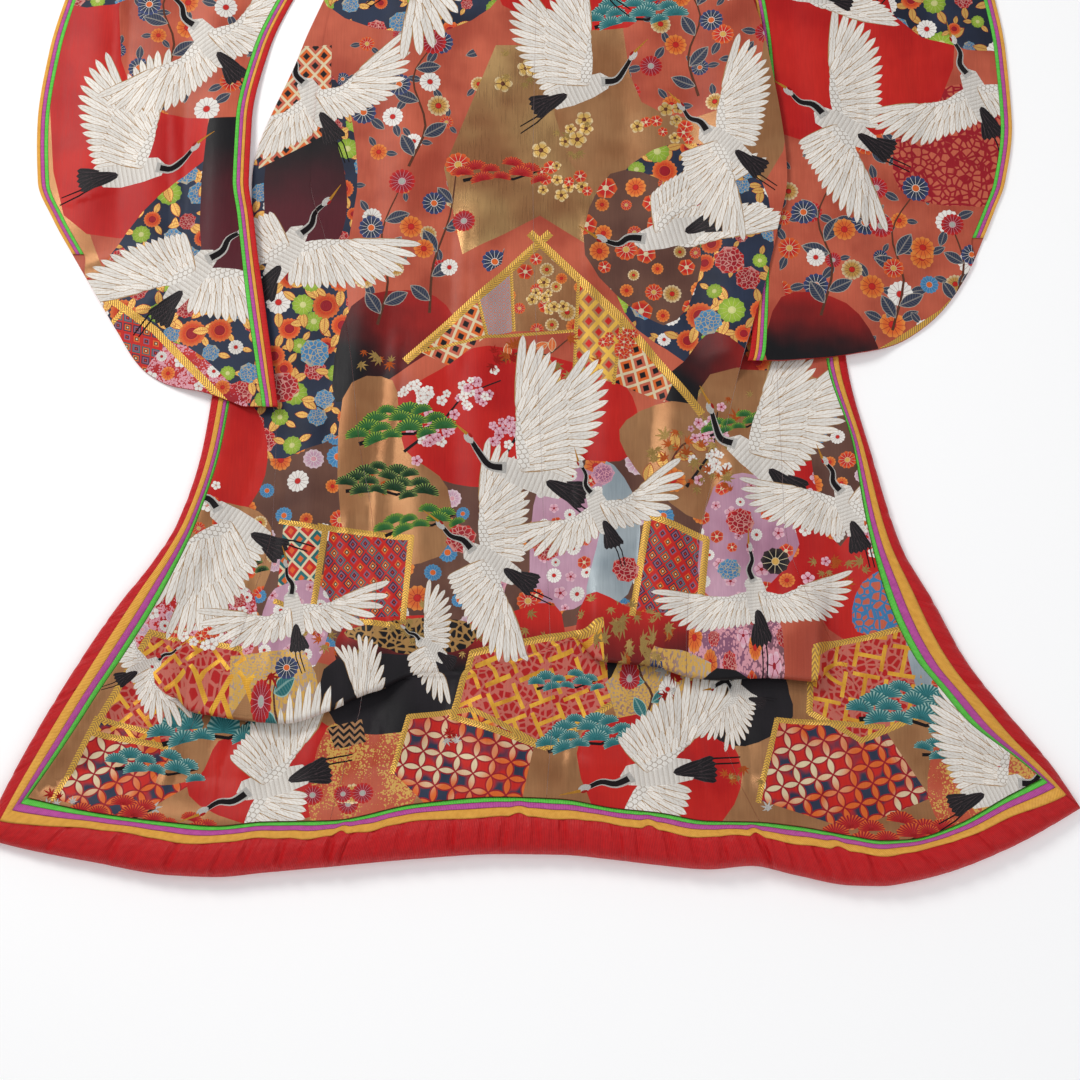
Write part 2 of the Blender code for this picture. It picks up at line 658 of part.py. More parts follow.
def make_sleeves(collection, materials):
    for side, sign in (("left", -1), ("right", 1)):
        table = SLEEVES[side]
        heights = list(table.data[:, 0])
        cuff_heights = heights[CUFF_BOTTOM_ROW:]

        def outer(y, inset=0.0):
            return table("outer", y) - sign * inset

        def furi(y, share=0.0):
            return table("furi", y) * (1 - share) + table("trim_end", y) * share

        def cuff_inset(y, least):
            return max(CUFF_TRIM * ramp(y, cuff_heights[0] - 0.04, cuff_heights[0]), least)

        def across(y, k, least):
            share = k / SLEEVE_COLUMNS_ACROSS
            return furi(y) * (1 - share) + outer(y, cuff_inset(y, least)) * share

        middle = range(SLEEVE_COLUMNS_ACROSS + 1)
        back = [lambda y, k=k: across(y, k, 0.0) for k in middle]
        front = [lambda y: furi(y, 1.0)] + [lambda y, k=k: across(y, k, CUFF_LEAST) for k in middle] + [outer]
        for name, lines, layer in (("front", front, 0), ("back", back, 1)):
            points, normals = sleeve_strip(side, lines, layer, heights)
            wall("sleeve_%s_%s" % (side, name), points, normals, WALL, collection, materials["brocade"])
        for colour, start, end in FURI_BANDS:
            lines = [lambda y: furi(y, start), lambda y: furi(y, end)]
            points, normals = sleeve_strip(side, lines, 1, heights)
            wall("furi_%s_%s" % (colour, side), points, normals, TRIM_WALL, collection, materials[colour])
        for colour, start, end in CUFF_BANDS:
            lines = [lambda y: outer(y, start), lambda y: outer(y, end)]
            points, normals = sleeve_strip(side, lines, 1, cuff_heights)
            wall("cuff_%s_%s" % (colour, side), points, normals, TRIM_WALL, collection, materials[colour])


def make_edges(collection, materials):
    hem = [hem_station(k / HEM_STATIONS) for k in range(HEM_STATIONS + 1)]
    left = [edge_station("left", k / EDGE_STATIONS) for k in range(EDGE_STATIONS + 1)]
    right = [edge_station("right", k / EDGE_STATIONS) for k in range(EDGE_STATIONS + 1)]
    rolls = (("hem_roll", hem), ("edge_roll_left", left), ("edge_roll_right", right))
    for name, stations in rolls:
        rings = [roll_section(station) for station in stations]
        for ring, inward in ((rings[0], rings[1]), (rings[-1], rings[-2])):
            for k, (point, next_point) in enumerate(zip(ring, inward)):
                step = next_point - point
                ring[k] = point + step * SEAM_GAP / np.linalg.norm(step[:2]) * np.array((1, 1, 0))
        loft(name, rings, collection, materials["fuki_red"])
    whole = list(reversed(left)) + hem[1:] + right[1:]
    for k, colour in enumerate(TRIM_NAMES):
        rings = [trim_section(station, k) for station in whole]
        loft("trim_" + colour, rings, collection, materials[colour])


def make_collar(collection, material):
    left = np.array(COLLAR_POINTS)
    keys = np.array(list(left) + [(-x, y) for x, y in reversed(COLLAR_POINTS[:-1])])
    lengths = np.concatenate(([0.0], np.cumsum(np.linalg.norm(np.diff(keys, axis=0), axis=1))))
    path = Table(("along", "x", "y"), np.column_stack((lengths, keys)))
    rings = []
    for k in range(COLLAR_STEPS + 1):
        s = lengths[-1] * k / COLLAR_STEPS
        here = np.array((path("x", s), path("y", s)))
        ahead = np.array((path("x", s + 0.002), path("y", s + 0.002)))
        behind = np.array((path("x", s - 0.002), path("y", s - 0.002)))
        run = (ahead - behind) / np.linalg.norm(ahead - behind)
        side = np.array((-run[1], run[0])) * COLLAR_HALF
        a, b = here - side, here + side
        rings.append([np.array((a[0], a[1], 0.0)), np.array((b[0], b[1], 0.0)),
                      np.array((b[0], b[1], COLLAR_WALL)), np.array((a[0], a[1], COLLAR_WALL))])
    loft("collar", rings, collection, material)


def centre_on_origin(collection):
    """Puts the origin under the middle of the whole garment, with its underside at zero."""
    corners = np.array([vertex.co for piece in collection.objects for vertex in piece.data.vertices])
    low, high = corners.min(axis=0), corners.max(axis=0)
    shift = (low + high) / 2
    shift[2] = low[2]
    for piece in collection.objects:
        for vertex in piece.data.vertices:
            vertex.co = np.array(vertex.co) - shift
        piece.data.update()


def main():
    for old in list(bpy.data.objects):
        bpy.data.objects.remove(old, do_unlink=True)
    collection = bpy.data.collections.new("uchikake")
    bpy.context.scene.collection.children.link(collection)
    materials = {name: make_material(name, colour, 0.45) for name, colour in COLOURS.items()}
    make_body(collection, materials["brocade"])
    make_sleeves(collection, materials)
    make_edges(collection, materials)
    make_collar(collection, materials["brocade"])
    centre_on_origin(collection)


main()
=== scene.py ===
"""Uchikake wedding kimono laid flat with its back up: the looks of its cloth, trims and padded rolls.

Every place on the garment is given on its flat plan: x across from the middle, y up from the lowest
point of the hem, counting through the cross tuck. The surface functions lift the plan to the folded
cloth, and SHIFT brings it into the frame. Sizes are in metres.
"""
import json
import math
import random

import bpy
import numpy as np
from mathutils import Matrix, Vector
from mathutils.geometry import delaunay_2d_cdt

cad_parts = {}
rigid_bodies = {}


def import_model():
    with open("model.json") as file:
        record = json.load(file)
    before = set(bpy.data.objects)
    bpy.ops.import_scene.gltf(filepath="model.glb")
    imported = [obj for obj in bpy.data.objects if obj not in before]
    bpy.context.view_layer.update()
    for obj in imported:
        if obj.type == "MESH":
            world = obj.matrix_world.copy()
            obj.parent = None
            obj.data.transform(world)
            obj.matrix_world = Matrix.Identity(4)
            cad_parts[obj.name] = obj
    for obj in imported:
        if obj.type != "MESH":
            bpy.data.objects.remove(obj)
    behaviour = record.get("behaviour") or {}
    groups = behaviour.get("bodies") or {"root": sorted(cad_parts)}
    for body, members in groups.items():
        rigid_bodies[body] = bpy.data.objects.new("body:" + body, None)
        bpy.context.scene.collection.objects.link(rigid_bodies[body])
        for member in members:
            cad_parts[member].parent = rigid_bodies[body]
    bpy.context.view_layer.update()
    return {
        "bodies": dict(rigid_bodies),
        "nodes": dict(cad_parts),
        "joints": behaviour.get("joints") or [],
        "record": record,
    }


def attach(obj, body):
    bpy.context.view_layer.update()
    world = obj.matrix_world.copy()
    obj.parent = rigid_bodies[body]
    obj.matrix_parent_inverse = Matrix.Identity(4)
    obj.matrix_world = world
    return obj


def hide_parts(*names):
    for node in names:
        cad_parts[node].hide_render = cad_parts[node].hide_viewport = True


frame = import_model()

# From the garment's plan to the frame
SHIFT = np.array((0.0107, -0.9159, 0.0))

# Cloth and its layers
WALL = 0.0016               # outer cloth with its lining
SEAM_GAP = 0.0004           # left between two pieces at a seam
TRIM_WALL = 0.0012          # a folded trim strip
LAYER_STEP = 0.0026         # from the front of a sleeve up to its back
BACK_OVER_FRONT = 0.0032    # lift of the back where the fronts lie under it
SLEEVE_OVER_EDGE = 0.0135   # lift of a sleeve where it lies on the front edge
EDGE_OVER_SLEEVE = 0.0200   # lift of the right back where it lies on the sleeve
BACK_CLIMBS = (0.98, 1.06)  # heights over which the back climbs onto the fronts
FRONT_SINKS = (0.88, 0.98)  # over which the fronts go flat under it
SLEEVE_SINKS = (1.05, 1.40)
SLEEVE_FOLDS_START = (0.80, 0.95)

# Body lengths
SHOULDER_Y = 1.76
NECK_DIP = 0.016
NECK_HALF = 0.085
OKUMI_TOP_Y = 1.01

# Seam lines: where each seam crosses a given height above the lowest point of the hem
SEAM_COLUMNS = ("height", "edge_left", "okumi_left", "side_left", "centre",
                "side_right", "okumi_right", "edge_right")
SEAM_ROWS = (
    (0.060, -0.787, -0.635, -0.310, 0.005, 0.335, 0.638, 0.854),
    (0.100, -0.760, -0.606, -0.301, 0.008, 0.312, 0.596, 0.801),
    (0.150, -0.727, -0.571, -0.291, 0.011, 0.291, 0.550, 0.735),
    (0.190, -0.702, -0.542, -0.283, 0.014, 0.277, 0.518, 0.687),
    (0.240, -0.672, -0.508, -0.270, 0.018, 0.253, 0.492, 0.625),
    (0.290, -0.643, -0.477, -0.258, 0.017, 0.229, 0.468, 0.586),
    (0.335, -0.615, -0.455, -0.252, 0.016, 0.215, 0.446, 0.552),
    (0.430, -0.562, -0.428, -0.244, 0.013, 0.220, 0.396, 0.513),
    (0.545, -0.513, -0.402, -0.251, 0.006, 0.243, 0.368, 0.488),
    (0.670, -0.480, -0.400, -0.274, 0.001, 0.276, 0.365, 0.471),
    (0.800, -0.466, -0.418, -0.288, -0.004, 0.308, 0.362, 0.437),
    (0.920, -0.462, -0.438, -0.309, -0.008, 0.345, 0.385, 0.430),
    (1.010, -0.460, -0.446, -0.335, -0.010, 0.367, 0.400, 0.425),
    (1.100, -0.458, -0.450, -0.358, -0.011, 0.384, 0.410, 0.424),
    (1.320, -0.390, -0.380, -0.345, -0.008, 0.360, 0.334, 0.390),
    (1.540, -0.330, -0.312, -0.312, 0.000, 0.312, 0.312, 0.330),
    (1.760, -0.330, -0.312, -0.312, 0.000, 0.312, 0.312, 0.330),
)
# The inner line of each front where it runs in under the back, up to the neck
FRONT_INNER_COLUMNS = ("height", "left", "right")
FRONT_INNER_ROWS = (
    (1.010, -0.335, 0.367),
    (1.100, -0.358, 0.384),
    (1.320, -0.262, 0.272),
    (1.540, -0.168, 0.168),
    (1.760, -0.112, 0.112),
)

# Hem: the cloth's edge and the outer edge of the padded roll, by place across
HEM_COLUMNS = ("across", "cloth_edge", "roll_edge", "roll_height")
HEM_ROWS = (
    (-0.806, 0.142, 0.069, 0.025),
    (-0.742, 0.127, 0.053, 0.025),
    (-0.642, 0.105, 0.034, 0.032),
    (-0.538, 0.091, 0.016, 0.036),
    (-0.465, 0.085, 0.013, 0.038),
    (-0.401, 0.091, 0.019, 0.038),
    (-0.301, 0.093, 0.028, 0.038),
    (-0.179, 0.117, 0.039, 0.040),
    (-0.061, 0.127, 0.046, 0.040),
    (0.029, 0.124, 0.045, 0.040),
    (0.105, 0.111, 0.038, 0.040),
    (0.172, 0.104, 0.030, 0.040),
    (0.243, 0.092, 0.024, 0.040),
    (0.306, 0.091, 0.029, 0.038),
    (0.368, 0.085, 0.016, 0.038),
    (0.447, 0.071, 0.001, 0.038),
    (0.493, 0.064, 0.000, 0.038),
    (0.534, 0.066, 0.006, 0.036),
    (0.596, 0.085, 0.022, 0.034),
    (0.681, 0.131, 0.056, 0.030),
    (0.728, 0.155, 0.080, 0.025),
    (0.785, 0.184, 0.113, 0.025),
)
CORNER_LEFT = -0.742        # where the cloth's hem meets its left edge, across
CORNER_RIGHT = 0.728
TIP_LEFT = -0.806           # the roll's own pointed corners
TIP_RIGHT = 0.785

# Front edges: the outer side of the padded roll, by height, and how high it stands
EDGE_COLUMNS = ("height", "outer", "roll_height")
EDGE_LEFT_ROWS = (
    (0.069, -0.806, 0.025),
    (0.128, -0.784, 0.025),
    (0.221, -0.740, 0.022),
    (0.344, -0.672, 0.022),
    (0.420, -0.624, 0.021),
    (0.480, -0.580, 0.020),
    (0.541, -0.545, 0.018),
    (0.648, -0.513, 0.014),
    (0.741, -0.500, 0.009),
    (0.800, -0.494, 0.008),
)
EDGE_RIGHT_ROWS = (
    (0.113, 0.785, 0.025),
    (0.171, 0.750, 0.025),
    (0.215, 0.717, 0.022),
    (0.269, 0.674, 0.022),
    (0.334, 0.628, 0.021),
    (0.425, 0.583, 0.020),
    (0.508, 0.540, 0.018),
    (0.648, 0.502, 0.014),
    (0.790, 0.470, 0.009),
    (0.860, 0.464, 0.008),
)

# Cross-section of the roll and the trims on it, as shares of the way from cloth edge to roll edge
ROLL_START = -0.10
ROLL_SHOULDER = 0.62        # height of the roll under the cloth's edge, as a share of its own
TRIM_SHARE_HEM = 0.37
TRIM_SHARE_EDGE = 0.60
TRIM_SHARE_BLEND = 0.07     # along the hem from a corner, as a share of the hem
TRIM_NAMES = ("green", "purple", "yellow")
TRIM_ENDS = (0.0, 0.26, 0.55, 1.0)
TRIM_LIFTS = (0.0011, 0.0007, 0.0003)
CLOTH_ON_TRIM = 0.0046      # from the roll's shoulder to the underside of the cloth's edge
HEM_RISE_REACH = 0.075
EDGE_RISE_REACH = 0.050
EDGE_SHARE_ASIDE = 0.88     # the edge line slants, so a run across it counts for less

# The cross tuck where the cloth pouches over, by place across; strength 1 folds it right over
TUCK_COLUMNS = ("across", "height", "strength")
TUCK_ROWS = (
    (-0.800, 0.285, 0.00),
    (-0.570, 0.280, 0.00),
    (-0.540, 0.278, 0.20),
    (-0.508, 0.274, 1.00),
    (-0.430, 0.262, 1.00),
    (-0.372, 0.258, 1.00),
    (-0.310, 0.276, 1.00),
    (-0.244, 0.304, 0.95),
    (-0.180, 0.312, 0.25),
    (-0.110, 0.316, 0.18),
    (0.000, 0.345, 0.18),
    (0.050, 0.368, 0.25),
    (0.085, 0.352, 1.00),
    (0.172, 0.342, 1.00),
    (0.217, 0.326, 0.95),
    (0.260, 0.322, 1.00),
    (0.333, 0.326, 1.00),
    (0.405, 0.320, 1.00),
    (0.428, 0.321, 0.28),
    (0.446, 0.320, 0.00),
    (0.800, 0.310, 0.00),
)
TUCK_HALF = 0.040           # half of the flat stretch that the tuck takes up
TUCK_OVERHANG = 0.014
TUCK_RADIUS = 0.0062
TUCK_FALL = 0.13            # over which the pouch above settles back onto the surface

# Long soft folds in the body: where each starts and ends, half its width, and its height
# Columns: from_x, from_y, to_x, to_y, half_width, height
FOLD_ROWS = (
    (-0.590, 0.19, -0.500, 0.40, 0.045, 0.007),
    (-0.455, 0.12, -0.405, 0.22, 0.040, 0.010),
    (-0.345, 0.12, -0.320, 0.24, 0.045, 0.011),
    (-0.225, 0.13, -0.190, 0.27, 0.050, 0.009),
    (-0.085, 0.15, -0.070, 0.29, 0.050, 0.008),
    (0.085, 0.14, 0.095, 0.29, 0.045, 0.008),
    (0.205, 0.12, 0.165, 0.28, 0.045, 0.010),
    (0.345, 0.12, 0.325, 0.26, 0.045, 0.010),
    (0.470, 0.12, 0.420, 0.26, 0.045, 0.010),
    (0.590, 0.16, 0.505, 0.33, 0.045, 0.006),
    (-0.335, 0.34, -0.350, 0.70, 0.040, 0.010),
    (-0.170, 0.36, -0.190, 0.80, 0.048, 0.009),
    (-0.085, 0.42, -0.095, 1.05, 0.045, 0.006),
    (-0.300, 0.62, -0.262, 0.95, 0.040, 0.006),
    (0.100, 0.42, 0.115, 0.85, 0.045, 0.008),
    (0.180, 0.40, 0.215, 0.78, 0.042, 0.009),
    (0.275, 0.37, 0.300, 0.66, 0.040, 0.010),
    (0.385, 0.36, 0.395, 0.60, 0.040, 0.008),
    (-0.210, 0.95, -0.200, 1.45, 0.055, 0.005),
    (0.190, 0.95, 0.170, 1.45, 0.055, 0.005),
)
FOLD_FADE = 0.07

# Sleeves: the free inner (furi) line, where its trims end, and the outer line, by height
SLEEVE_COLUMNS = ("height", "trim_end", "furi", "outer")
SLEEVE_LEFT_ROWS = (
    (0.724, -0.397, -0.421, -0.450),
    (0.745, -0.400, -0.424, -0.503),
    (0.764, -0.403, -0.428, -0.570),
    (0.793, -0.407, -0.433, -0.612),
    (0.851, -0.416, -0.443, -0.650),
    (0.915, -0.426, -0.453, -0.688),
    (0.976, -0.436, -0.461, -0.724),
    (1.036, -0.444, -0.469, -0.758),
    (1.096, -0.453, -0.478, -0.784),
    (1.200, -0.452, -0.477, -0.790),
    (1.320, -0.430, -0.455, -0.778),
    (1.430, -0.384, -0.409, -0.752),
    (1.540, -0.3122, -0.338, -0.720),
    (1.650, -0.3122, -0.338, -0.688),
    (1.760, -0.3122, -0.338, -0.660),
)
SLEEVE_RIGHT_ROWS = (
    (0.798, 0.316, 0.340, 0.370),
    (0.803, 0.318, 0.342, 0.440),
    (0.818, 0.321, 0.345, 0.517),
    (0.842, 0.324, 0.347, 0.570),
    (0.888, 0.328, 0.350, 0.623),
    (0.950, 0.333, 0.353, 0.664),
    (1.003, 0.337, 0.356, 0.688),
    (1.050, 0.341, 0.360, 0.708),
    (1.096, 0.345, 0.366, 0.726),
    (1.200, 0.349, 0.372, 0.742),
    (1.320, 0.345, 0.368, 0.738),
    (1.430, 0.333, 0.356, 0.722),
    (1.540, 0.3122, 0.338, 0.700),
    (1.650, 0.3122, 0.338, 0.680),
    (1.760, 0.3122, 0.338, 0.660),
)
# Trim strips along a sleeve: each from one share of the trim's width to the next
FURI_BANDS = (
    ("green", 0.00, 0.24),
    ("purple", 0.24, 0.46),
    ("yellow", 0.46, 0.66),
    ("red", 0.66, 1.00),
)
# Each from one distance inside the outer line to the next
CUFF_BANDS = (("green", 0.018, 0.012), ("purple", 0.012, 0.006), ("yellow", 0.006, 0.0))
CUFF_TRIM = 0.018
CUFF_BOTTOM_ROW = 6         # the cuff is sewn shut below this row of a sleeve's table
# Columns as in the body's folds
SLEEVE_FOLD_ROWS = (
    (-0.600, 0.82, -0.610, 1.40, 0.055, 0.006),
    (-0.500, 0.98, -0.520, 1.50, 0.050, 0.005),
    (-0.705, 1.02, -0.700, 1.60, 0.050, 0.005),
    (0.560, 0.90, 0.560, 1.45, 0.055, 0.006),
    (0.460, 0.98, 0.440, 1.50, 0.050, 0.005),
    (0.655, 1.02, 0.640, 1.60, 0.050, 0.005),
)
SLEEVE_REST_LEFT = -0.505   # outside this line the left sleeve starts down to the surface
SLEEVE_REST_RIGHT = 0.482
SLEEVE_SETTLE = 0.075

# Lift of the right back's outer margin over the sleeve, by height
MARGIN_COLUMNS = ("height", "lift")
MARGIN_ROWS = (
    (0.700, 0.0),
    (0.760, 0.0),
    (0.815, 1.0),
    (1.120, 1.0),
    (1.280, 0.70),
    (1.400, 0.45),
    (1.520, 0.0),
    (1.760, 0.0),
)
MARGIN_START = 0.225
MARGIN_FULL = 0.300

# Collar: the middle line of its folded band round the back of the neck
COLLAR_POINTS = (
    (-0.205, 1.36),
    (-0.136, 1.52),
    (-0.092, 1.66),
    (-0.074, 1.752),
    (-0.040, 1.796),
    (0.0, 1.808),
)
COLLAR_HALF = 0.024
COLLAR_WALL = 0.0026

# Finer creases than the solids have: from_x, from_y, to_x, to_y, half_width, height
CREASE_ROWS = (
    (-0.700, 0.15, -0.640, 0.24, 0.016, 0.0022),
    (-0.560, 0.12, -0.520, 0.24, 0.014, 0.0026),
    (-0.480, 0.11, -0.470, 0.21, 0.012, 0.0024),
    (-0.415, 0.22, -0.350, 0.24, 0.013, 0.0030),
    (-0.300, 0.12, -0.285, 0.25, 0.012, 0.0026),
    (-0.262, 0.13, -0.235, 0.24, 0.010, 0.0022),
    (-0.150, 0.14, -0.120, 0.30, 0.013, 0.0028),
    (-0.045, 0.15, -0.020, 0.28, 0.012, 0.0022),
    (0.040, 0.15, 0.055, 0.27, 0.011, 0.0022),
    (0.140, 0.14, 0.125, 0.29, 0.012, 0.0028),
    (0.250, 0.13, 0.220, 0.27, 0.012, 0.0026),
    (0.300, 0.12, 0.290, 0.26, 0.010, 0.0022),
    (0.410, 0.11, 0.380, 0.24, 0.013, 0.0028),
    (0.520, 0.11, 0.470, 0.22, 0.012, 0.0024),
    (0.640, 0.17, 0.560, 0.27, 0.015, 0.0022),
    (-0.455, 0.33, -0.440, 0.46, 0.014, 0.0026),
    (-0.400, 0.31, -0.385, 0.52, 0.013, 0.0030),
    (-0.300, 0.36, -0.290, 0.55, 0.012, 0.0026),
    (-0.250, 0.38, -0.245, 0.60, 0.012, 0.0022),
    (-0.215, 0.35, -0.225, 0.48, 0.011, 0.0026),
    (-0.120, 0.36, -0.140, 0.58, 0.014, 0.0024),
    (-0.040, 0.38, -0.045, 0.62, 0.013, 0.0018),
    (0.055, 0.43, 0.060, 0.64, 0.012, 0.0018),
    (0.145, 0.40, 0.160, 0.55, 0.011, 0.0028),
    (0.235, 0.38, 0.250, 0.52, 0.012, 0.0030),
    (0.320, 0.37, 0.345, 0.55, 0.012, 0.0026),
    (0.415, 0.37, 0.430, 0.50, 0.012, 0.0024),
    (-0.235, 0.62, -0.220, 0.84, 0.014, 0.0020),
    (0.150, 0.62, 0.165, 0.90, 0.014, 0.0020),
    (-0.130, 0.78, -0.120, 1.02, 0.016, 0.0018),
    (0.080, 0.80, 0.075, 1.04, 0.016, 0.0018),
)
SLEEVE_CREASE_ROWS = (
    (-0.700, 0.96, -0.610, 0.99, 0.012, 0.0022),
    (-0.640, 0.86, -0.560, 0.93, 0.014, 0.0024),
    (-0.740, 1.06, -0.680, 1.08, 0.010, 0.0018),
    (-0.560, 1.00, -0.575, 1.22, 0.014, 0.0022),
    (-0.660, 1.20, -0.670, 1.45, 0.015, 0.0020),
    (0.640, 0.96, 0.560, 0.99, 0.013, 0.0022),
    (0.600, 0.90, 0.520, 0.95, 0.013, 0.0024),
    (0.690, 1.08, 0.630, 1.10, 0.010, 0.0018),
    (0.500, 1.00, 0.505, 1.22, 0.014, 0.0022),
    (0.610, 1.20, 0.600, 1.45, 0.015, 0.0020),
)
CREASE_FADE = 0.035


class Table:
    """A smooth curve through each named column of a short table, read by its first column."""

    def __init__(self, columns, rows):
        self.columns = columns
        self.data = np.array(rows, dtype=float)
        self.top = self.data[-1, 0]

    def __call__(self, name, where):
        keys = self.data[:, 0]
        values = self.data[:, self.columns.index(name)]
        rises = np.diff(values) / np.diff(keys)
        before, after = rises[:-1], rises[1:]
        same_way = before * after > 0
        inner = np.where(same_way, 2 * before * after / np.where(same_way, before + after, 1), 0)
        slopes = np.concatenate((rises[:1], inner, rises[-1:]))
        where = np.clip(where, keys[0], keys[-1])
        k = np.clip(np.searchsorted(keys, where) - 1, 0, len(keys) - 2)
        span = keys[k + 1] - keys[k]
        t = (where - keys[k]) / span
        ends = (1 + 2 * t) * (1 - t) ** 2 * values[k] + t * t * (3 - 2 * t) * values[k + 1]
        return ends + t * (1 - t) ** 2 * span * slopes[k] + t * t * (t - 1) * span * slopes[k + 1]


SEAMS = Table(SEAM_COLUMNS, SEAM_ROWS)
FRONT_INNER = Table(FRONT_INNER_COLUMNS, FRONT_INNER_ROWS)
HEM = Table(HEM_COLUMNS, HEM_ROWS)
EDGES = {"left": Table(EDGE_COLUMNS, EDGE_LEFT_ROWS), "right": Table(EDGE_COLUMNS, EDGE_RIGHT_ROWS)}
TUCK = Table(TUCK_COLUMNS, TUCK_ROWS)
SLEEVES = {"left": Table(SLEEVE_COLUMNS, SLEEVE_LEFT_ROWS), "right": Table(SLEEVE_COLUMNS, SLEEVE_RIGHT_ROWS)}
MARGIN = Table(MARGIN_COLUMNS, MARGIN_ROWS)


def ramp(value, low, high):
    t = np.clip((value - low) / (high - low), 0.0, 1.0)
    return t * t * (3 - 2 * t)


def bump(t):
    return np.where(np.abs(t) < 1, (1 - t * t) ** 2, 0.0)


def ridges(rows, x, y, fade):
    """Height of a table of long rounded ridges at places of the plan; each dies out at its ends."""
    total = np.zeros(np.shape(x))
    for from_x, from_y, to_x, to_y, half_width, height in rows:
        run_x, run_y = to_x - from_x, to_y - from_y
        length = math.hypot(run_x, run_y)
        along = ((x - from_x) * run_x + (y - from_y) * run_y) / length
        aside = np.abs((x - from_x) * run_y - (y - from_y) * run_x) / length
        ends = ramp(along, -fade, fade) * (1 - ramp(along, length - fade, length + fade))
        total = total + height * bump(aside / half_width) * ends
    return total


def boundary_lift(height):
    return ROLL_SHOULDER * height + CLOTH_ON_TRIM


def edge_rise(x, y):
    """How far the body's cloth stands up where it runs onto the padded rolls, and the share of it."""
    down = np.maximum((y - HEM("cloth_edge", x)) / HEM_RISE_REACH, 0.0)
    rise = boundary_lift(HEM("roll_height", x)) * bump(down)
    share = bump(down)
    for side, sign in (("left", 1), ("right", -1)):
        top = EDGES[side].top
        aside = np.maximum(sign * (x - SEAMS("edge_" + side, y)) * EDGE_SHARE_ASIDE / EDGE_RISE_REACH, 0.0)
        near = np.where(y < top + EDGE_RISE_REACH, bump(aside), 0.0)
        lift = boundary_lift(EDGES[side]("roll_height", y)) * (1 - ramp(y, top, top + EDGE_RISE_REACH))
        rise = np.maximum(rise, lift * near)
        share = np.maximum(share, near)
    return rise, share


TUCK_STRAIGHT = TUCK_HALF + TUCK_OVERHANG
TUCK_ARC = math.pi * TUCK_RADIUS
TUCK_BACK = 2 * TUCK_OVERHANG
PATH_HALF = (2 * TUCK_STRAIGHT + 2 * TUCK_ARC + TUCK_BACK) / 2


def tuck_path(t):
    """The folded-over path of the tuck: t from -1 to 1 gives its run up the cloth and its height."""
    s = (t + 1) * PATH_HALF
    under = s - TUCK_STRAIGHT
    back = under - TUCK_ARC
    over = back - TUCK_BACK
    last = over - TUCK_ARC
    low, high = under / TUCK_RADIUS, over / TUCK_RADIUS
    where = (under < 0, back < 0, over < 0, last < 0)
    run = np.select(where, (s - TUCK_HALF, TUCK_OVERHANG + TUCK_RADIUS * np.sin(low), TUCK_OVERHANG - back,
                            -TUCK_OVERHANG - TUCK_RADIUS * np.sin(high)), last - TUCK_OVERHANG)
    rise = np.select(where, (0 * s, TUCK_RADIUS * (1 - np.cos(low)), 2 * TUCK_RADIUS + 0 * s,
                             TUCK_RADIUS * (3 - np.cos(high))), 4 * TUCK_RADIUS)
    return run, rise


def body_surface(layer, creased=True):
    """The underside of the body's cloth as a function of the plan, for the back or for the fronts."""
    def surface(x, y):
        line, strength = TUCK("height", x), TUCK("strength", x)
        t = (y - line) / TUCK_HALF
        fold_y, fold_z = tuck_path(np.clip(t, -1.0, 1.0))
        within = np.abs(t) < 1
        out_y = np.where(within, y + strength * (line + fold_y - y), y)
        settle = 4 * TUCK_RADIUS * (1 - ramp(y, line + TUCK_HALF, line + TUCK_HALF + TUCK_FALL))
        tuck = strength * np.where(within, fold_z, np.where(t >= 1, settle, 0.0))
        rise, share = edge_rise(x, y)
        folds = ridges(FOLD_ROWS, x, y, FOLD_FADE)
        creases = ridges(CREASE_ROWS, x, y, CREASE_FADE) * (1 - strength * (1 - ramp(np.abs(t), 1.0, 1.6)))
        if not creased:
            creases = creases * 0
        z = rise + (tuck + folds) * (1 - share) + creases * (1 - 0.6 * share)
        if layer == "back":
            z = z + BACK_OVER_FRONT * ramp(y, *BACK_CLIMBS)
            z = z + EDGE_OVER_SLEEVE * MARGIN("lift", y) * ramp(x, MARGIN_START, MARGIN_FULL)
        else:
            z = z * (1 - ramp(y, *FRONT_SINKS))
        return np.stack((x + 0 * y, out_y, z), axis=-1)
    return surface


def sleeve_surface(side, layer, thickness=0.0, creased=True):
    """A sleeve's cloth as a function of the plan: it lies over the front edge, and further out it rests."""
    def surface(x, y):
        if side == "left":
            inside = ramp(x, SLEEVE_REST_LEFT - SLEEVE_SETTLE, SLEEVE_REST_LEFT)
        else:
            inside = 1 - ramp(x, SLEEVE_REST_RIGHT, SLEEVE_REST_RIGHT + SLEEVE_SETTLE)
        z = SLEEVE_OVER_EDGE * inside * (1 - ramp(y, *SLEEVE_SINKS))
        folds = ridges(SLEEVE_FOLD_ROWS, x, y, FOLD_FADE)
        if creased:
            folds = folds + ridges(SLEEVE_CREASE_ROWS, x, y, CREASE_FADE)
        z = z + folds * ramp(y, *SLEEVE_FOLDS_START) + layer * LAYER_STEP + thickness
        return np.stack((x + 0 * y, y + 0 * x, z), axis=-1)
    return surface


def surface_normals(surface, x, y):
    step = 0.0004
    across = surface(x + step, y) - surface(x - step, y)
    along = surface(x, y + step) - surface(x, y - step)
    normals = np.cross(across, along)
    return normals / np.linalg.norm(normals, axis=1)[:, None]


# The cloth coordinate runs along the folded cloth, so that the tuck's rows lie evenly in it
def to_cloth(points):
    t = (points[:, 1] - TUCK("height", points[:, 0])) / TUCK_HALF
    past = np.sign(t) * (PATH_HALF + (np.abs(t) - 1) * TUCK_HALF)
    return np.column_stack((points[:, 0], np.where(np.abs(t) < 1, t * PATH_HALF, past)))


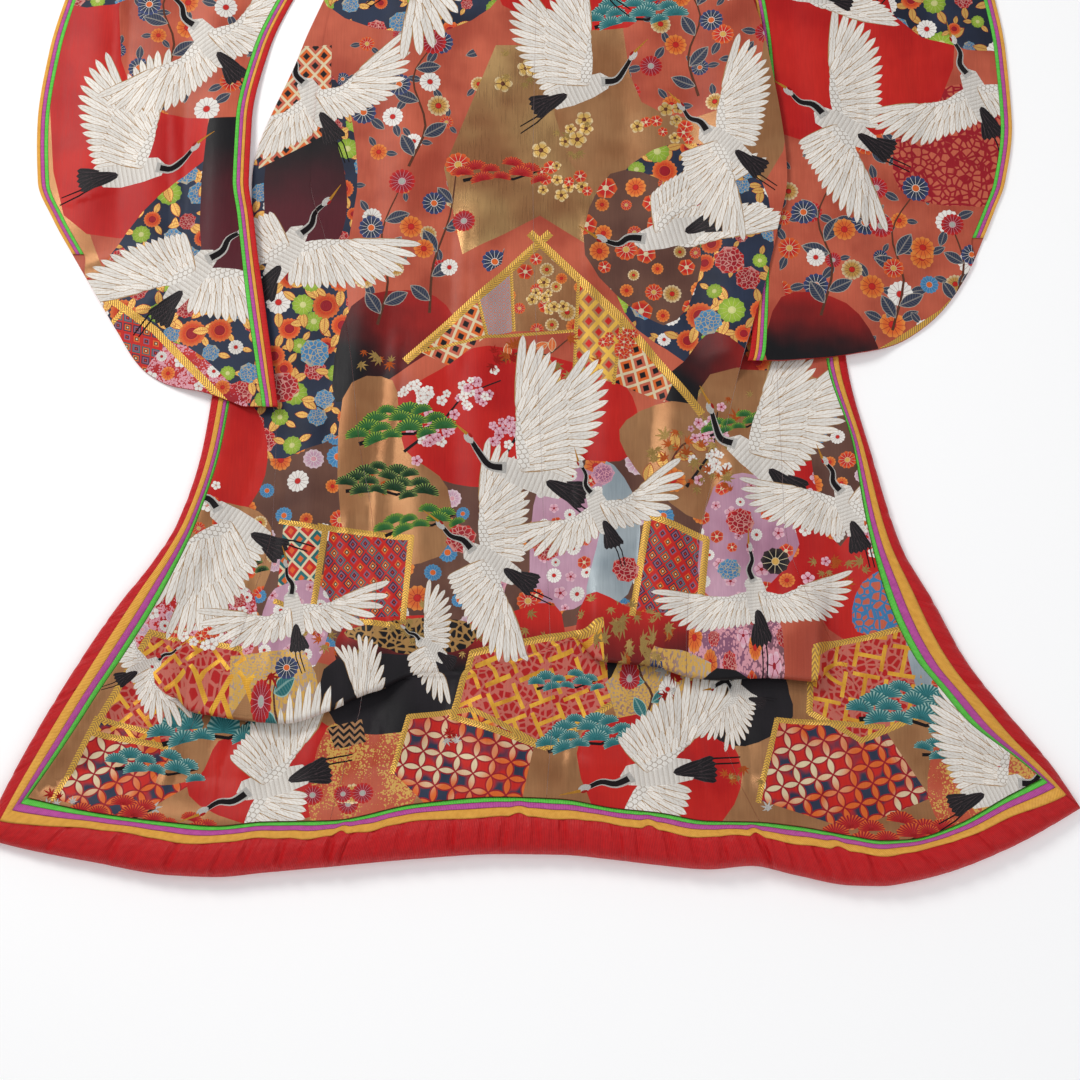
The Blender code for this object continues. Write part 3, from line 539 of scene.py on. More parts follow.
def from_cloth(points):
    w = points[:, 1]
    past = np.sign(w) * (1 + (np.abs(w) - PATH_HALF) / TUCK_HALF)
    t = np.where(np.abs(w) < PATH_HALF, w / PATH_HALF, past)
    return np.column_stack((points[:, 0], TUCK("height", points[:, 0]) + t * TUCK_HALF))


def as_it_is(points):
    return points


# Spacing of the woven panels' points: across and along, in and near the tuck, and on hidden cloth
PITCH = 0.0085
PITCH_TUCK = 0.0028
PITCH_TUCK_ENDS = 0.009     # on the tuck's two straight runs
PITCH_HIDDEN = 0.020
PITCH_UNDER = 0.016
RELIEF = 0.00035            # how far the figures' floating threads stand proud of the ground
JOIN = 1e-6
# How far the grids of points reach, over the whole plan and along the folded cloth
GRID_HALF = 0.87
SLEEVE_GRID_HALF = 0.80
SLEEVE_GRID_LOW = 0.70
BELOW_TUCK = 0.36
TUCK_LOWEST = 0.30
OVER_TOP = 0.15


def add_object(name, data):
    thing = bpy.data.objects.new(name, data)
    bpy.context.scene.collection.objects.link(thing)
    return thing


def spaced(low, high, step):
    return np.linspace(low, high, max(int(round(abs(high - low) / step)), 1) + 1)


def densify(points, to_plane, pitch):
    """A closed outline in the cloth plane, with points added so that no side is long."""
    flat = to_plane(points)
    out = []
    for a, b, p, q in zip(flat, np.roll(flat, -1, axis=0), points, np.roll(points, -1, axis=0)):
        near_tuck = to_plane is to_cloth and min(abs(a[1]), abs(b[1])) < PATH_HALF + PITCH
        step = PITCH_TUCK if near_tuck else pitch
        count = max(int(math.ceil(np.linalg.norm(b - a) / step)), 1)
        out.append(p + (q - p) * np.linspace(0, 1, count, endpoint=False)[:, None])
    return np.concatenate(out)


def triangulate(outlines, extra):
    """Splits the plane along every outline. Gives the points inside the first one, the triangles there,
    the outlines that hold each triangle, and where each corner of the first outline has gone."""
    points, faces, start = [], [], 0
    for outline in outlines:
        points.append(outline)
        faces.append(list(range(start, start + len(outline))))
        start += len(outline)
    points.append(extra)
    flat = [Vector(point) for point in np.concatenate(points)]
    verts, _, triangles, sources, _, holders = delaunay_2d_cdt(flat, [], faces, 0, JOIN, True)
    inside = [k for k, holder in enumerate(holders) if 0 in holder]
    corners = np.array([triangles[k] for k in inside])
    used, corners = np.unique(corners, return_inverse=True)
    kept = {old: new for new, old in enumerate(used)}
    moved = {source: kept[k] for k, origin in enumerate(sources) for source in origin
             if k in kept and source < len(outlines[0])}
    return np.array(verts)[used], corners.reshape(-1, 3), [holders[k] for k in inside], moved


def rim_loop(triangles):
    """The points round the edge of a patch of triangles, in order."""
    edges = np.concatenate((triangles[:, [0, 1]], triangles[:, [1, 2]], triangles[:, [2, 0]]))
    there = set(map(tuple, edges.tolist()))
    after = {a: b for a, b in there if (b, a) not in there}
    start = min(after)
    loop = [start]
    while after[loop[-1]] != start:
        loop.append(after[loop[-1]])
    return np.array(loop)


def within_rows(points, low, high, bottom, top, margin):
    """Keeps the points that lie inside a panel whose sides and ends are functions of the plan."""
    x, y = points[:, 0], points[:, 1]
    keep = (x > low(y) + margin) & (x < high(y) - margin) & (y > bottom(x) + margin) & (y < top - margin)
    return points[keep]


def topmost(holders, beds):
    """The last figure over each triangle; a figure with a bed shows only where its bed does."""
    shown = np.zeros(len(holders), dtype=int)
    for k, holder in enumerate(holders):
        for number in sorted(holder, reverse=True):
            if beds[number] is None or beds[number] in holder:
                shown[k] = number
                break
    return shown


def reaches(outline, low, high):
    """Whether an outline's box meets the box between two corners."""
    return (outline.max(axis=0) > low).all() and (outline.min(axis=0) < high).all()


def weave(name, outline, extra, surface, plain, wall, figures, planes, lining, pitch=PITCH):
    """A cloth panel as a closed thin shell, with its figures woven into one mesh.

    Each figure has an outline on the plan, a material, and the frame that its pattern is drawn in.
    The first figure is the panel's own ground. The underside follows the plain surface, without creases.
    """
    to_plane, from_plane = planes
    low, high = outline.min(axis=0), outline.max(axis=0)
    near = [0] + [k for k in range(1, len(figures)) if reaches(figures[k]["fine"], low, high)]
    number = {k: n for n, k in enumerate(near)}
    beds = [number.get(figures[k]["bed"], -1) if figures[k]["bed"] is not None else None for k in near]
    chosen = [figures[k] for k in near]
    flat = [to_plane(densify(outline, to_plane, pitch))] + [to_plane(figure["fine"]) for figure in chosen[1:]]
    verts, triangles, holders, _ = triangulate(flat, to_plane(extra))
    shown = topmost(holders, beds)
    plan = from_plane(verts)
    normals = surface_normals(surface, plan[:, 0], plan[:, 1])
    raised = np.zeros(len(verts))
    lifts = np.array([figure["lift"] for figure in chosen])
    np.maximum.at(raised, triangles.ravel(), np.repeat(lifts[shown], 3))
    over = surface(plan[:, 0], plan[:, 1]) + normals * (wall + raised)[:, None]
    rim = rim_loop(triangles)
    over[rim] -= normals[rim] * raised[rim][:, None]
    step = max(int(round(PITCH_UNDER / pitch)), 2)
    under_verts, under_triangles, _, moved = triangulate([verts[rim]], to_plane(extra[::step]))
    under_rim = np.array([moved[k] for k in range(len(rim))])
    under_plan = from_plane(under_verts)
    under = plain(under_plan[:, 0], under_plan[:, 1])
    below, beneath = under_triangles[:, ::-1] + len(over), under_rim + len(over)
    ahead, beneath_ahead = np.roll(rim, -1), np.roll(beneath, -1)
    sides = np.concatenate((np.column_stack((beneath, beneath_ahead, ahead)),
                            np.column_stack((beneath, ahead, rim))))
    faces = np.concatenate((triangles, below, sides))
    piece = shell(name, np.concatenate((over, under)), faces, np.concatenate((plan, under_plan)),
                  normals[triangles.ravel()], shown, chosen, lining)
    a, b, c = verts[triangles[:, 0]], verts[triangles[:, 1]], verts[triangles[:, 2]]
    ab, ac = b - a, c - a
    piece["flat_area"] = float(np.abs(ab[:, 0] * ac[:, 1] - ab[:, 1] * ac[:, 0]).sum() / 2)
    piece["flat_length"] = float(np.ptp(verts[:, 1]))
    return piece


def shell(name, points, faces, places, top_normals, shown, figures, lining):
    """Builds the mesh of a woven panel, with each figure's material and frame on its own triangles."""
    materials = []
    slots = np.zeros(len(figures), dtype=int)
    for k in np.unique(shown):
        if figures[k]["material"] not in materials:
            materials.append(figures[k]["material"])
        slots[k] = materials.index(figures[k]["material"])
    materials.append(lining)
    mesh = bpy.data.meshes.new(name)
    mesh.from_pydata((points + SHIFT).tolist(), [], faces.tolist())
    for material in materials:
        mesh.materials.append(material)
    face_slots = np.full(len(faces), len(materials) - 1)
    face_slots[:len(shown)] = slots[shown]
    mesh.polygons.foreach_set("material_index", face_slots.astype(np.int32))
    corners = places[faces.ravel()]
    cloth = mesh.uv_layers.new(name="cloth")
    cloth.data.foreach_set("uv", corners.astype(np.float32).ravel())
    origins = np.array([figure["origin"] for figure in figures])
    inverses = np.array([np.linalg.inv(figure["axes"]) for figure in figures])
    owner = np.repeat(shown, 3)
    local = np.einsum("nij,nj->ni", inverses[owner], corners[:len(owner)] - origins[owner])
    drawn = np.concatenate((local, corners[len(owner):]))
    figure_map = mesh.uv_layers.new(name="figure")
    figure_map.data.foreach_set("uv", drawn.astype(np.float32).ravel())
    tones = np.full(len(faces), 0.5)
    tones[:len(shown)] = np.array([figure["tone"] for figure in figures])[shown]
    tone = mesh.attributes.new("tone", "FLOAT", "FACE")
    tone.data.foreach_set("value", tones.astype(np.float32))
    mesh.polygons.foreach_set("use_smooth", np.ones(len(faces), dtype=bool))
    mesh.update()
    own = np.array([polygon.normal for polygon in mesh.polygons])
    corner_normals = np.repeat(own, 3, axis=0)
    corner_normals[:len(top_normals)] = top_normals
    mesh.normals_split_custom_set(corner_normals.tolist())
    return add_object(name, mesh)


def side_line(name, nudge):
    """A seam or an edge of the body as a function of the height; the fronts narrow in under the back."""
    def line(y):
        if name.startswith("front_inner"):
            side = name.split("_")[-1]
            inner = FRONT_INNER(side, y)
            return np.where(y > FRONT_INNER_ROWS[0][0], inner, SEAMS("side_" + side, y)) + nudge
        return SEAMS(name, y) + nudge
    return line


def meet_hem(line):
    """Where a side line crosses the cloth's hem."""
    y = HEM("cloth_edge", line(0.1))
    for _ in range(30):
        y = HEM("cloth_edge", line(y))
    return float(line(y)), float(y)


def body_outline(low, high, top, neck):
    """The flat outline of a body panel, anticlockwise from the hem."""
    (x0, y0), (x1, y1) = meet_hem(low), meet_hem(high)
    across = spaced(x0, x1, PITCH)
    up = spaced(y1, top, PITCH)[1:]
    down = spaced(top, y0, PITCH)[1:-1]
    over = spaced(float(high(top)), float(low(top)), PITCH)[1:]
    dip = NECK_DIP * bump(over / NECK_HALF) if neck else 0 * over
    return np.concatenate((np.column_stack((across, HEM("cloth_edge", across))),
                           np.column_stack((high(up), up)),
                           np.column_stack((over, top - dip)),
                           np.column_stack((low(down), down))))


def body_grid(low, high, top, hidden_from):
    """Points inside a body panel, in even rows of the cloth plane, closer through the tuck."""
    arc, straight = PATH_HALF - TUCK_STRAIGHT, TUCK_STRAIGHT
    middle = np.concatenate((spaced(-PATH_HALF, -arc, PITCH_TUCK_ENDS), spaced(-arc, arc, PITCH_TUCK)[1:-1],
                             spaced(arc, PATH_HALF, PITCH_TUCK_ENDS)))
    below = spaced(-PATH_HALF - BELOW_TUCK, -PATH_HALF, PITCH)[:-1]
    above = spaced(PATH_HALF, PATH_HALF + hidden_from - TUCK_LOWEST, PITCH)[1:]
    hidden = spaced(above[-1], above[-1] + top - hidden_from + OVER_TOP, PITCH_HIDDEN)[1:]
    columns = spaced(-GRID_HALF, GRID_HALF, PITCH)
    rows = np.concatenate((below, middle, above))
    fine = np.stack(np.meshgrid(columns, rows), axis=-1).reshape(-1, 2)
    wide = spaced(-GRID_HALF, GRID_HALF, PITCH_HIDDEN)
    coarse = np.stack(np.meshgrid(wide, hidden), axis=-1).reshape(-1, 2)
    points = from_cloth(np.concatenate((fine, coarse)))
    return within_rows(points, low, high, lambda x: HEM("cloth_edge", x), top, PITCH * 0.45)


# Panels of the body: name, left line, right line, layer, top, and the height that hides it
BODY_PANELS = (
    ("back_left", "side_left", "centre", "back", SHOULDER_Y, SHOULDER_Y),
    ("back_right", "centre", "side_right", "back", SHOULDER_Y, SHOULDER_Y),
    ("front_left", "okumi_left", "front_inner_left", "front", SHOULDER_Y, 1.05),
    ("front_right", "front_inner_right", "okumi_right", "front", SHOULDER_Y, 1.05),
    ("okumi_left", "edge_left", "okumi_left", "front", OKUMI_TOP_Y, 0.90),
    ("okumi_right", "okumi_right", "edge_right", "front", OKUMI_TOP_Y, 0.90),
)


def make_body(figures, lining):
    pieces = []
    for name, left, right, layer, top, hidden_from in BODY_PANELS:
        low, high = side_line(left, SEAM_GAP / 2), side_line(right, -SEAM_GAP / 2)
        outline = body_outline(low, high, top, layer == "back")
        grid = body_grid(low, high, top, hidden_from)
        piece = weave(name + "_cloth", outline, grid, body_surface(layer), body_surface(layer, False), WALL,
                      figures, (to_cloth, from_cloth), lining)
        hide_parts(name)
        pieces.append(piece)
    return pieces


def sleeve_lines(side):
    """The lines that a sleeve's cloth and trims follow, as functions of the height."""
    table, sign = SLEEVES[side], -1 if side == "left" else 1
    cuff_from = table.data[CUFF_BOTTOM_ROW, 0]

    def outer(y, inset=0.0):
        return table("outer", y) - sign * inset

    def furi(y, share=0.0):
        return table("furi", y) * (1 - share) + table("trim_end", y) * share

    def cuff_inset(y, least):
        return np.maximum(CUFF_TRIM * ramp(y, cuff_from - 0.04, cuff_from), least)

    return outer, furi, cuff_inset, cuff_from


def sleeve_outline(low, high, bottom, top):
    up = spaced(bottom, top, PITCH * 0.6)
    down = up[::-1]
    return np.concatenate((np.column_stack((high(up), up)), np.column_stack((low(down), down))))


def make_sleeves(figures, lining):
    pieces = []
    for side in ("left", "right"):
        outer, furi, cuff_inset, _ = sleeve_lines(side)
        bottom = SLEEVES[side].data[0, 0]
        inner_back, outer_back = furi, lambda y: outer(y, cuff_inset(y, 0.0))
        inner_front, outer_front = lambda y: furi(y, 1.0), outer
        layers = (("front", inner_front, outer_front, 0, figures[side][:1], PITCH_HIDDEN),
                  ("back", inner_back, outer_back, 1, figures[side], PITCH))
        for layer_name, inner, out, layer, woven, pitch in layers:
            low, high = (out, inner) if side == "left" else (inner, out)
            low_in, high_in = (lambda y, f=low: f(y) + SEAM_GAP / 2), (lambda y, f=high: f(y) - SEAM_GAP / 2)
            outline = sleeve_outline(low_in, high_in, bottom, SHOULDER_Y)
            across = spaced(-SLEEVE_GRID_HALF, SLEEVE_GRID_HALF, pitch)
            grid = np.stack(np.meshgrid(across, spaced(SLEEVE_GRID_LOW, SHOULDER_Y, pitch)), axis=-1)
            grid = within_rows(grid.reshape(-1, 2), low_in, high_in, lambda x: bottom + 0 * x, SHOULDER_Y,
                               pitch * 0.4)
            name = "sleeve_%s_%s" % (side, layer_name)
            piece = weave(name + "_cloth", outline, grid, sleeve_surface(side, layer),
                          sleeve_surface(side, layer, creased=False), WALL, woven, (as_it_is, as_it_is),
                          lining, pitch)
            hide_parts(name)
            pieces.append(piece)
    return pieces


# Gathers in the padded hem roll: place along the hem as a share, half its width, its depth, its lean
GATHER_ROWS = (
    (0.031, 0.010, 0.0027, 0.010), (0.058, 0.009, 0.0037, -0.012), (0.083, 0.012, 0.0024, 0.008),
    (0.109, 0.008, 0.0044, 0.014), (0.131, 0.010, 0.0031, -0.006), (0.162, 0.009, 0.0051, 0.010),
    (0.188, 0.012, 0.0027, 0.012), (0.207, 0.007, 0.0041, -0.010), (0.231, 0.010, 0.0034, 0.006),
    (0.262, 0.009, 0.0054, 0.014), (0.284, 0.011, 0.0031, -0.008), (0.307, 0.009, 0.0078, 0.012),
    (0.322, 0.007, 0.0061, -0.014), (0.346, 0.010, 0.0031, 0.008), (0.371, 0.009, 0.0041, 0.010),
    (0.397, 0.012, 0.0027, -0.010), (0.418, 0.008, 0.0048, 0.012), (0.447, 0.010, 0.0034, 0.006),
    (0.468, 0.009, 0.0041, -0.012), (0.495, 0.011, 0.0031, 0.010), (0.521, 0.008, 0.0051, 0.008),
    (0.542, 0.010, 0.0031, -0.014), (0.571, 0.009, 0.0044, 0.010), (0.590, 0.008, 0.0034, -0.006),
    (0.618, 0.011, 0.0041, 0.012), (0.641, 0.009, 0.0031, 0.008), (0.668, 0.009, 0.0058, -0.010),
    (0.689, 0.010, 0.0034, 0.014), (0.705, 0.007, 0.0071, 0.010), (0.731, 0.010, 0.0037, -0.008),
    (0.758, 0.009, 0.0044, 0.012), (0.779, 0.011, 0.0027, 0.006), (0.806, 0.009, 0.0048, -0.012),
    (0.829, 0.009, 0.0031, 0.010), (0.857, 0.008, 0.0041, 0.012), (0.883, 0.010, 0.0027, -0.008),
    (0.912, 0.009, 0.0037, 0.010), (0.938, 0.010, 0.0024, -0.006), (0.965, 0.009, 0.0031, 0.008),
)
# The same along a front edge, from the corner up
EDGE_GATHER_ROWS = (
    (0.06, 0.012, 0.0018, 0.006), (0.13, 0.010, 0.0023, -0.008), (0.21, 0.013, 0.0016, 0.006),
    (0.28, 0.010, 0.0023, 0.008), (0.37, 0.012, 0.0018, -0.006), (0.45, 0.009, 0.0026, 0.008),
    (0.54, 0.012, 0.0016, 0.006), (0.63, 0.010, 0.0021, -0.008), (0.72, 0.012, 0.0013, 0.006),
)
# Waves of the trims' outer edges along the hem: place as a share, half width, how far out or in
WAVE_ROWS = (
    (0.05, 0.030, 0.0027), (0.11, 0.024, -0.0024), (0.17, 0.032, 0.0031), (0.235, 0.020, -0.0031),
    (0.285, 0.018, 0.0037), (0.315, 0.008, -0.0068), (0.345, 0.016, 0.0037), (0.39, 0.024, -0.0020),
    (0.44, 0.030, 0.0024), (0.485, 0.010, -0.0051), (0.52, 0.022, 0.0027), (0.565, 0.020, -0.0024),
    (0.61, 0.009, -0.0058), (0.645, 0.024, 0.0034), (0.69, 0.018, -0.0020), (0.712, 0.008, -0.0071),
    (0.745, 0.022, 0.0031), (0.79, 0.010, -0.0061), (0.83, 0.024, 0.0034), (0.88, 0.022, -0.0024),
    (0.93, 0.028, 0.0024),
)
ROLL_PITCH = 0.0030         # between the sections of the rolls and trims
TRIM_POINTS = 6             # across the top of a trim strip
GATHER_FADE = 0.10
EDGE_RUNS = {"hem": 1.60, "left": 0.80, "right": 0.75}
# Cross-sections: heights over a hem trim; place across and height of a sleeve's strip, and of the collar
TRIM_HEIGHTS = (0.55, 0.95, 1.0, 1.0, 0.92, 0.50)
STRIP_SECTION = ((0, 0), (0, 0.6), (0.08, 1), (0.35, 1), (0.65, 1), (0.92, 1), (1, 0.6), (1, 0))
COLLAR_SECTION = ((-1, 0.0), (-1, 0.5), (-0.96, 0.85), (-0.6, 1), (0, 1), (0.6, 1), (0.96, 0.85),
                  (1, 0.5), (1, 0.0), (0, 0.0))


def roll_profile(share):
    """Height of the roll's top over a share of the way across it, as a share of its full height."""
    keys = (ROLL_START, 0.0, 0.14, 0.30, 0.55, 0.80, 0.94, 1.0)
    heights = (0.30, ROLL_SHOULDER, 0.80, 0.93, 1.00, 0.90, 0.70, 0.42)
    return Table(("share", "height"), np.column_stack((keys, heights)))("height", share)


def hem_stations(shares):
    """Sections along the hem: inner point, outer point, height, and where the trims end."""
    inner_x = CORNER_LEFT + (CORNER_RIGHT - CORNER_LEFT) * shares
    outer_x = TIP_LEFT + (TIP_RIGHT - TIP_LEFT) * shares
    near_corner = np.maximum(1 - np.minimum(shares, 1 - shares) / TRIM_SHARE_BLEND, 0)
    trim_share = TRIM_SHARE_HEM + (TRIM_SHARE_EDGE - TRIM_SHARE_HEM) * ramp(near_corner, 0.0, 1.0)
    return (np.column_stack((inner_x, HEM("cloth_edge", inner_x))),
            np.column_stack((outer_x, HEM("roll_edge", outer_x))), HEM("roll_height", inner_x), trim_share)


def edge_stations(side, shares):
    """The same along a front edge, from the corner up."""
    table = EDGES[side]
    corner_x = CORNER_LEFT if side == "left" else CORNER_RIGHT
    corner_y = float(HEM("cloth_edge", corner_x))
    inner_y = corner_y + (table.top - corner_y) * shares
    outer_y = table.data[0, 0] + (table.top - table.data[0, 0]) * shares
    return (np.column_stack((SEAMS("edge_" + side, inner_y), inner_y)),
            np.column_stack((table("outer", outer_y), outer_y)),
            table("roll_height", inner_y), np.full(len(shares), TRIM_SHARE_EDGE))


def across_stations(stations, share, lift=0.0):
    """The points that lie a share of the way across every section, on the roll's top or above it."""
    inner, outer, height, _ = stations
    place = inner + (outer - inner) * np.reshape(share, (-1, 1))
    return np.column_stack((place, height * roll_profile(share) + lift))


def length_along(points):
    return np.concatenate(([0.0], np.cumsum(np.linalg.norm(np.diff(points, axis=0), axis=1))))


def gathers(rows, along, share):
    """How far the roll's silk is drawn in at places along it: soft troughs with fuller cloth beside them."""
    whole = along[-1]
    total = np.zeros(len(along))
    for place, half_width, depth, lean in rows:
        offset = (along - place * whole - lean * (share - 0.6)) / half_width
        total += depth * (0.35 * bump(offset / 2.6) - 1.1 * bump(offset))
    return total


def tube(name, rings, material, smooth=True):
    """A closed mesh through rings of points, with a map in metres: round it, and along it."""
    count, around = rings.shape[:2]
    k = np.arange(around)
    n = (k + 1) % around
    base = np.arange(count - 1)[:, None] * around
    quads = np.stack((base + k, base + n, base + around + n, base + around + k), axis=-1).reshape(-1, 4)
    faces = quads.tolist() + [list(range(around - 1, -1, -1)),
                              list(range((count - 1) * around, count * around))]
    mesh = bpy.data.meshes.new(name)
    mesh.from_pydata((rings.reshape(-1, 3) + SHIFT).tolist(), [], faces)
    mesh.materials.append(material)
    along = length_along(rings.mean(axis=1))
    closed = np.concatenate((rings, rings[:, :1]), axis=1)
    steps = np.linalg.norm(np.diff(closed, axis=1), axis=2).mean(axis=0)
    round_it = np.concatenate(([0.0], np.cumsum(steps)))

    def on_sides(values):
        return np.broadcast_to(values, (count - 1, around))

    near, far = on_sides(round_it[:-1]), on_sides(round_it[1:])
    low, high = on_sides(along[:-1, None]), on_sides(along[1:, None])
    corners = (np.stack((near, far, far, near), axis=-1), np.stack((low, low, high, high), axis=-1))
    sides = np.stack(corners, axis=-1).reshape(-1, 2)
    caps = np.column_stack((np.tile(round_it[:-1], 2), np.repeat(along[[0, -1]], around)))
    cloth = mesh.uv_layers.new(name="cloth")
    cloth.data.foreach_set("uv", np.concatenate((sides, caps)).astype(np.float32).ravel())
    mesh.polygons.foreach_set("use_smooth", np.full(len(faces), smooth))
    piece = add_object(name, mesh)
    turn_outwards(piece)
    return piece


def turn_outwards(piece):
    """Turns the faces of a closed mesh so that they point outwards."""
    for other in bpy.context.selected_objects:
        other.select_set(False)
    bpy.context.view_layer.objects.active = piece
    piece.select_set(True)
    bpy.ops.object.mode_set(mode="EDIT")
    bpy.ops.mesh.select_all(action="SELECT")
    bpy.ops.mesh.normals_make_consistent(inside=False)
    bpy.ops.object.mode_set(mode="OBJECT")
    piece.select_set(False)


def mitre(rings):
    """Draws both end sections in by a hair, so that neighbouring pieces stay apart."""
    for end, inward in ((0, 1), (-1, -2)):
        step = rings[inward] - rings[end]
        step[:, 2] = 0.0
        rings[end] += step * SEAM_GAP / np.maximum(np.linalg.norm(step, axis=1), 1e-9)[:, None]
    return rings


def make_roll(name, stations, rows, material):
    marks = np.concatenate((spaced(ROLL_START, 0.0, 0.05), spaced(0.0, 1.0, 0.045)[1:]))
    along = length_along((stations[0] + stations[1]) / 2)
    ends = ramp(along, 0.0, GATHER_FADE) * (1 - ramp(along, along[-1] - GATHER_FADE, along[-1]))
    outward = stations[1] - stations[0]
    outward = outward / np.linalg.norm(outward, axis=1)[:, None]
    rings = []
    for share in marks:
        points = across_stations(stations, np.full(len(along), share))
        slope = (roll_profile(share + 0.02) - roll_profile(share - 0.02)) / 0.04
        width = np.linalg.norm(stations[1] - stations[0], axis=1)
        tilt = np.arctan(slope * stations[2] / width)
        draw = (gathers(rows, along, share) * ends * ramp(share, 0.25, 0.60)
                * (1 - 0.4 * ramp(share, 0.9, 1.0)))
        points[:, 2] += draw * np.cos(tilt)
        points[:, :2] -= outward * (draw * np.sin(tilt))[:, None]
        rings.append(points)
    side = rings[-1]
    for share, drop in ((0.995, 0.55), (0.975, 0.22), (0.95, 0.06)):
        low = across_stations(stations, np.full(len(along), share))
        low[:, 2] = side[:, 2] * drop
        rings.append(low)
    for share in (0.92, 0.6, 0.3, ROLL_START + 0.06):
        low = across_stations(stations, np.full(len(along), share))
        low[:, 2] = 0.0
        rings.append(low)
    return tube(name, mitre(np.stack(rings, axis=1)), material)


def trim_rings(stations, k, wave):
    """Sections of a folded trim strip where it lies on the roll, its outer fold rounded."""
    width = np.linalg.norm(stations[1] - stations[0], axis=1)
    start = stations[3] * TRIM_ENDS[k] + (SEAM_GAP / 2 + wave * TRIM_ENDS[k]) / width
    end = stations[3] * TRIM_ENDS[k + 1] + (wave * TRIM_ENDS[k + 1] - SEAM_GAP / 2) / width
    lift = TRIM_LIFTS[k]
    rings = [across_stations(stations, start, lift)]
    for n, height in enumerate(TRIM_HEIGHTS):
        share = start + (end - start) * (n / (TRIM_POINTS - 1))
        rings.append(across_stations(stations, share, lift + TRIM_WALL * height))
    rings.append(across_stations(stations, end - 0.0006 / width, lift))
    rings.append(across_stations(stations, (start + end) / 2, lift))
    return np.stack(rings, axis=1)


def make_edges(materials):
    pieces = []
    shares = {part: np.linspace(0, 1, int(run / ROLL_PITCH)) for part, run in EDGE_RUNS.items()}
    hem = hem_stations(shares["hem"])
    left = edge_stations("left", shares["left"])
    right = edge_stations("right", shares["right"])
    for name, stations, rows in (("hem_roll", hem, GATHER_ROWS), ("edge_roll_left", left, EDGE_GATHER_ROWS),
                                 ("edge_roll_right", right, EDGE_GATHER_ROWS)):
        piece = make_roll(name + "_padded", stations, rows, materials["fuki"])
        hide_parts(name)
        pieces.append(piece)
    whole = [np.concatenate((a[::-1], b[1:], c[1:])) for a, b, c in zip(left, hem, right)]
    before = len(left[2])
    wave = np.zeros(len(whole[2]))
    for place, half_width, reach in WAVE_ROWS:
        wave[before - 1:before - 1 + len(hem[2])] += reach * bump((shares["hem"] - place) / half_width)
    for k, colour in enumerate(TRIM_NAMES):
        rings = trim_rings(whole, k, wave)
        piece = tube("trim_%s_strip" % colour, rings, materials[colour])
        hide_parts("trim_" + colour)
        pieces.append(piece)
    return pieces


def make_sleeve_trims(materials):
    """The strips along the sleeves: four down the free inner side, three round the cuff."""
    pieces = []
    for side in ("left", "right"):
        outer, furi, _, cuff_from = sleeve_lines(side)
        surface = sleeve_surface(side, 1)
        bottom = SLEEVES[side].data[0, 0]
        strips = [("furi", furi, bottom) + band for band in FURI_BANDS]
        strips += [("cuff", outer, cuff_from) + band for band in CUFF_BANDS]
        for kind, line, low, colour, start, end in strips:
            y = spaced(low, SHOULDER_Y, 0.005)
            a, b = line(y, start), line(y, end)
            x0, x1 = np.minimum(a, b) + SEAM_GAP / 2, np.maximum(a, b) - SEAM_GAP / 2
            rings = []
            for share, height in STRIP_SECTION:
                x = x0 + (x1 - x0) * share
                rings.append(surface(x, y) + surface_normals(surface, x, y) * TRIM_WALL * height)
            name = "%s_%s_%s" % (kind, colour, side)
            piece = tube(name + "_strip", np.stack(rings, axis=1), materials[colour])
            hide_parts(name)
            pieces.append(piece)
    return pieces


def make_collar(material):
    left = np.array(COLLAR_POINTS)
    keys = np.concatenate((left, left[-2::-1] * (-1, 1)))
    path = Table(("along", "x", "y"), np.column_stack((length_along(keys), keys)))
    s = spaced(0.0, path.top, 0.004)
    here = np.column_stack((path("x", s), path("y", s)))
    run = np.gradient(here, axis=0)
    side = np.column_stack((-run[:, 1], run[:, 0])) / np.linalg.norm(run, axis=1)[:, None] * COLLAR_HALF
    rings = []
    for share, height in COLLAR_SECTION:
        rings.append(np.column_stack((here + side * share, np.full(len(s), COLLAR_WALL * height))))
    piece = tube("collar_cloth", np.stack(rings, axis=1), material)
    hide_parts("collar")
    return piece


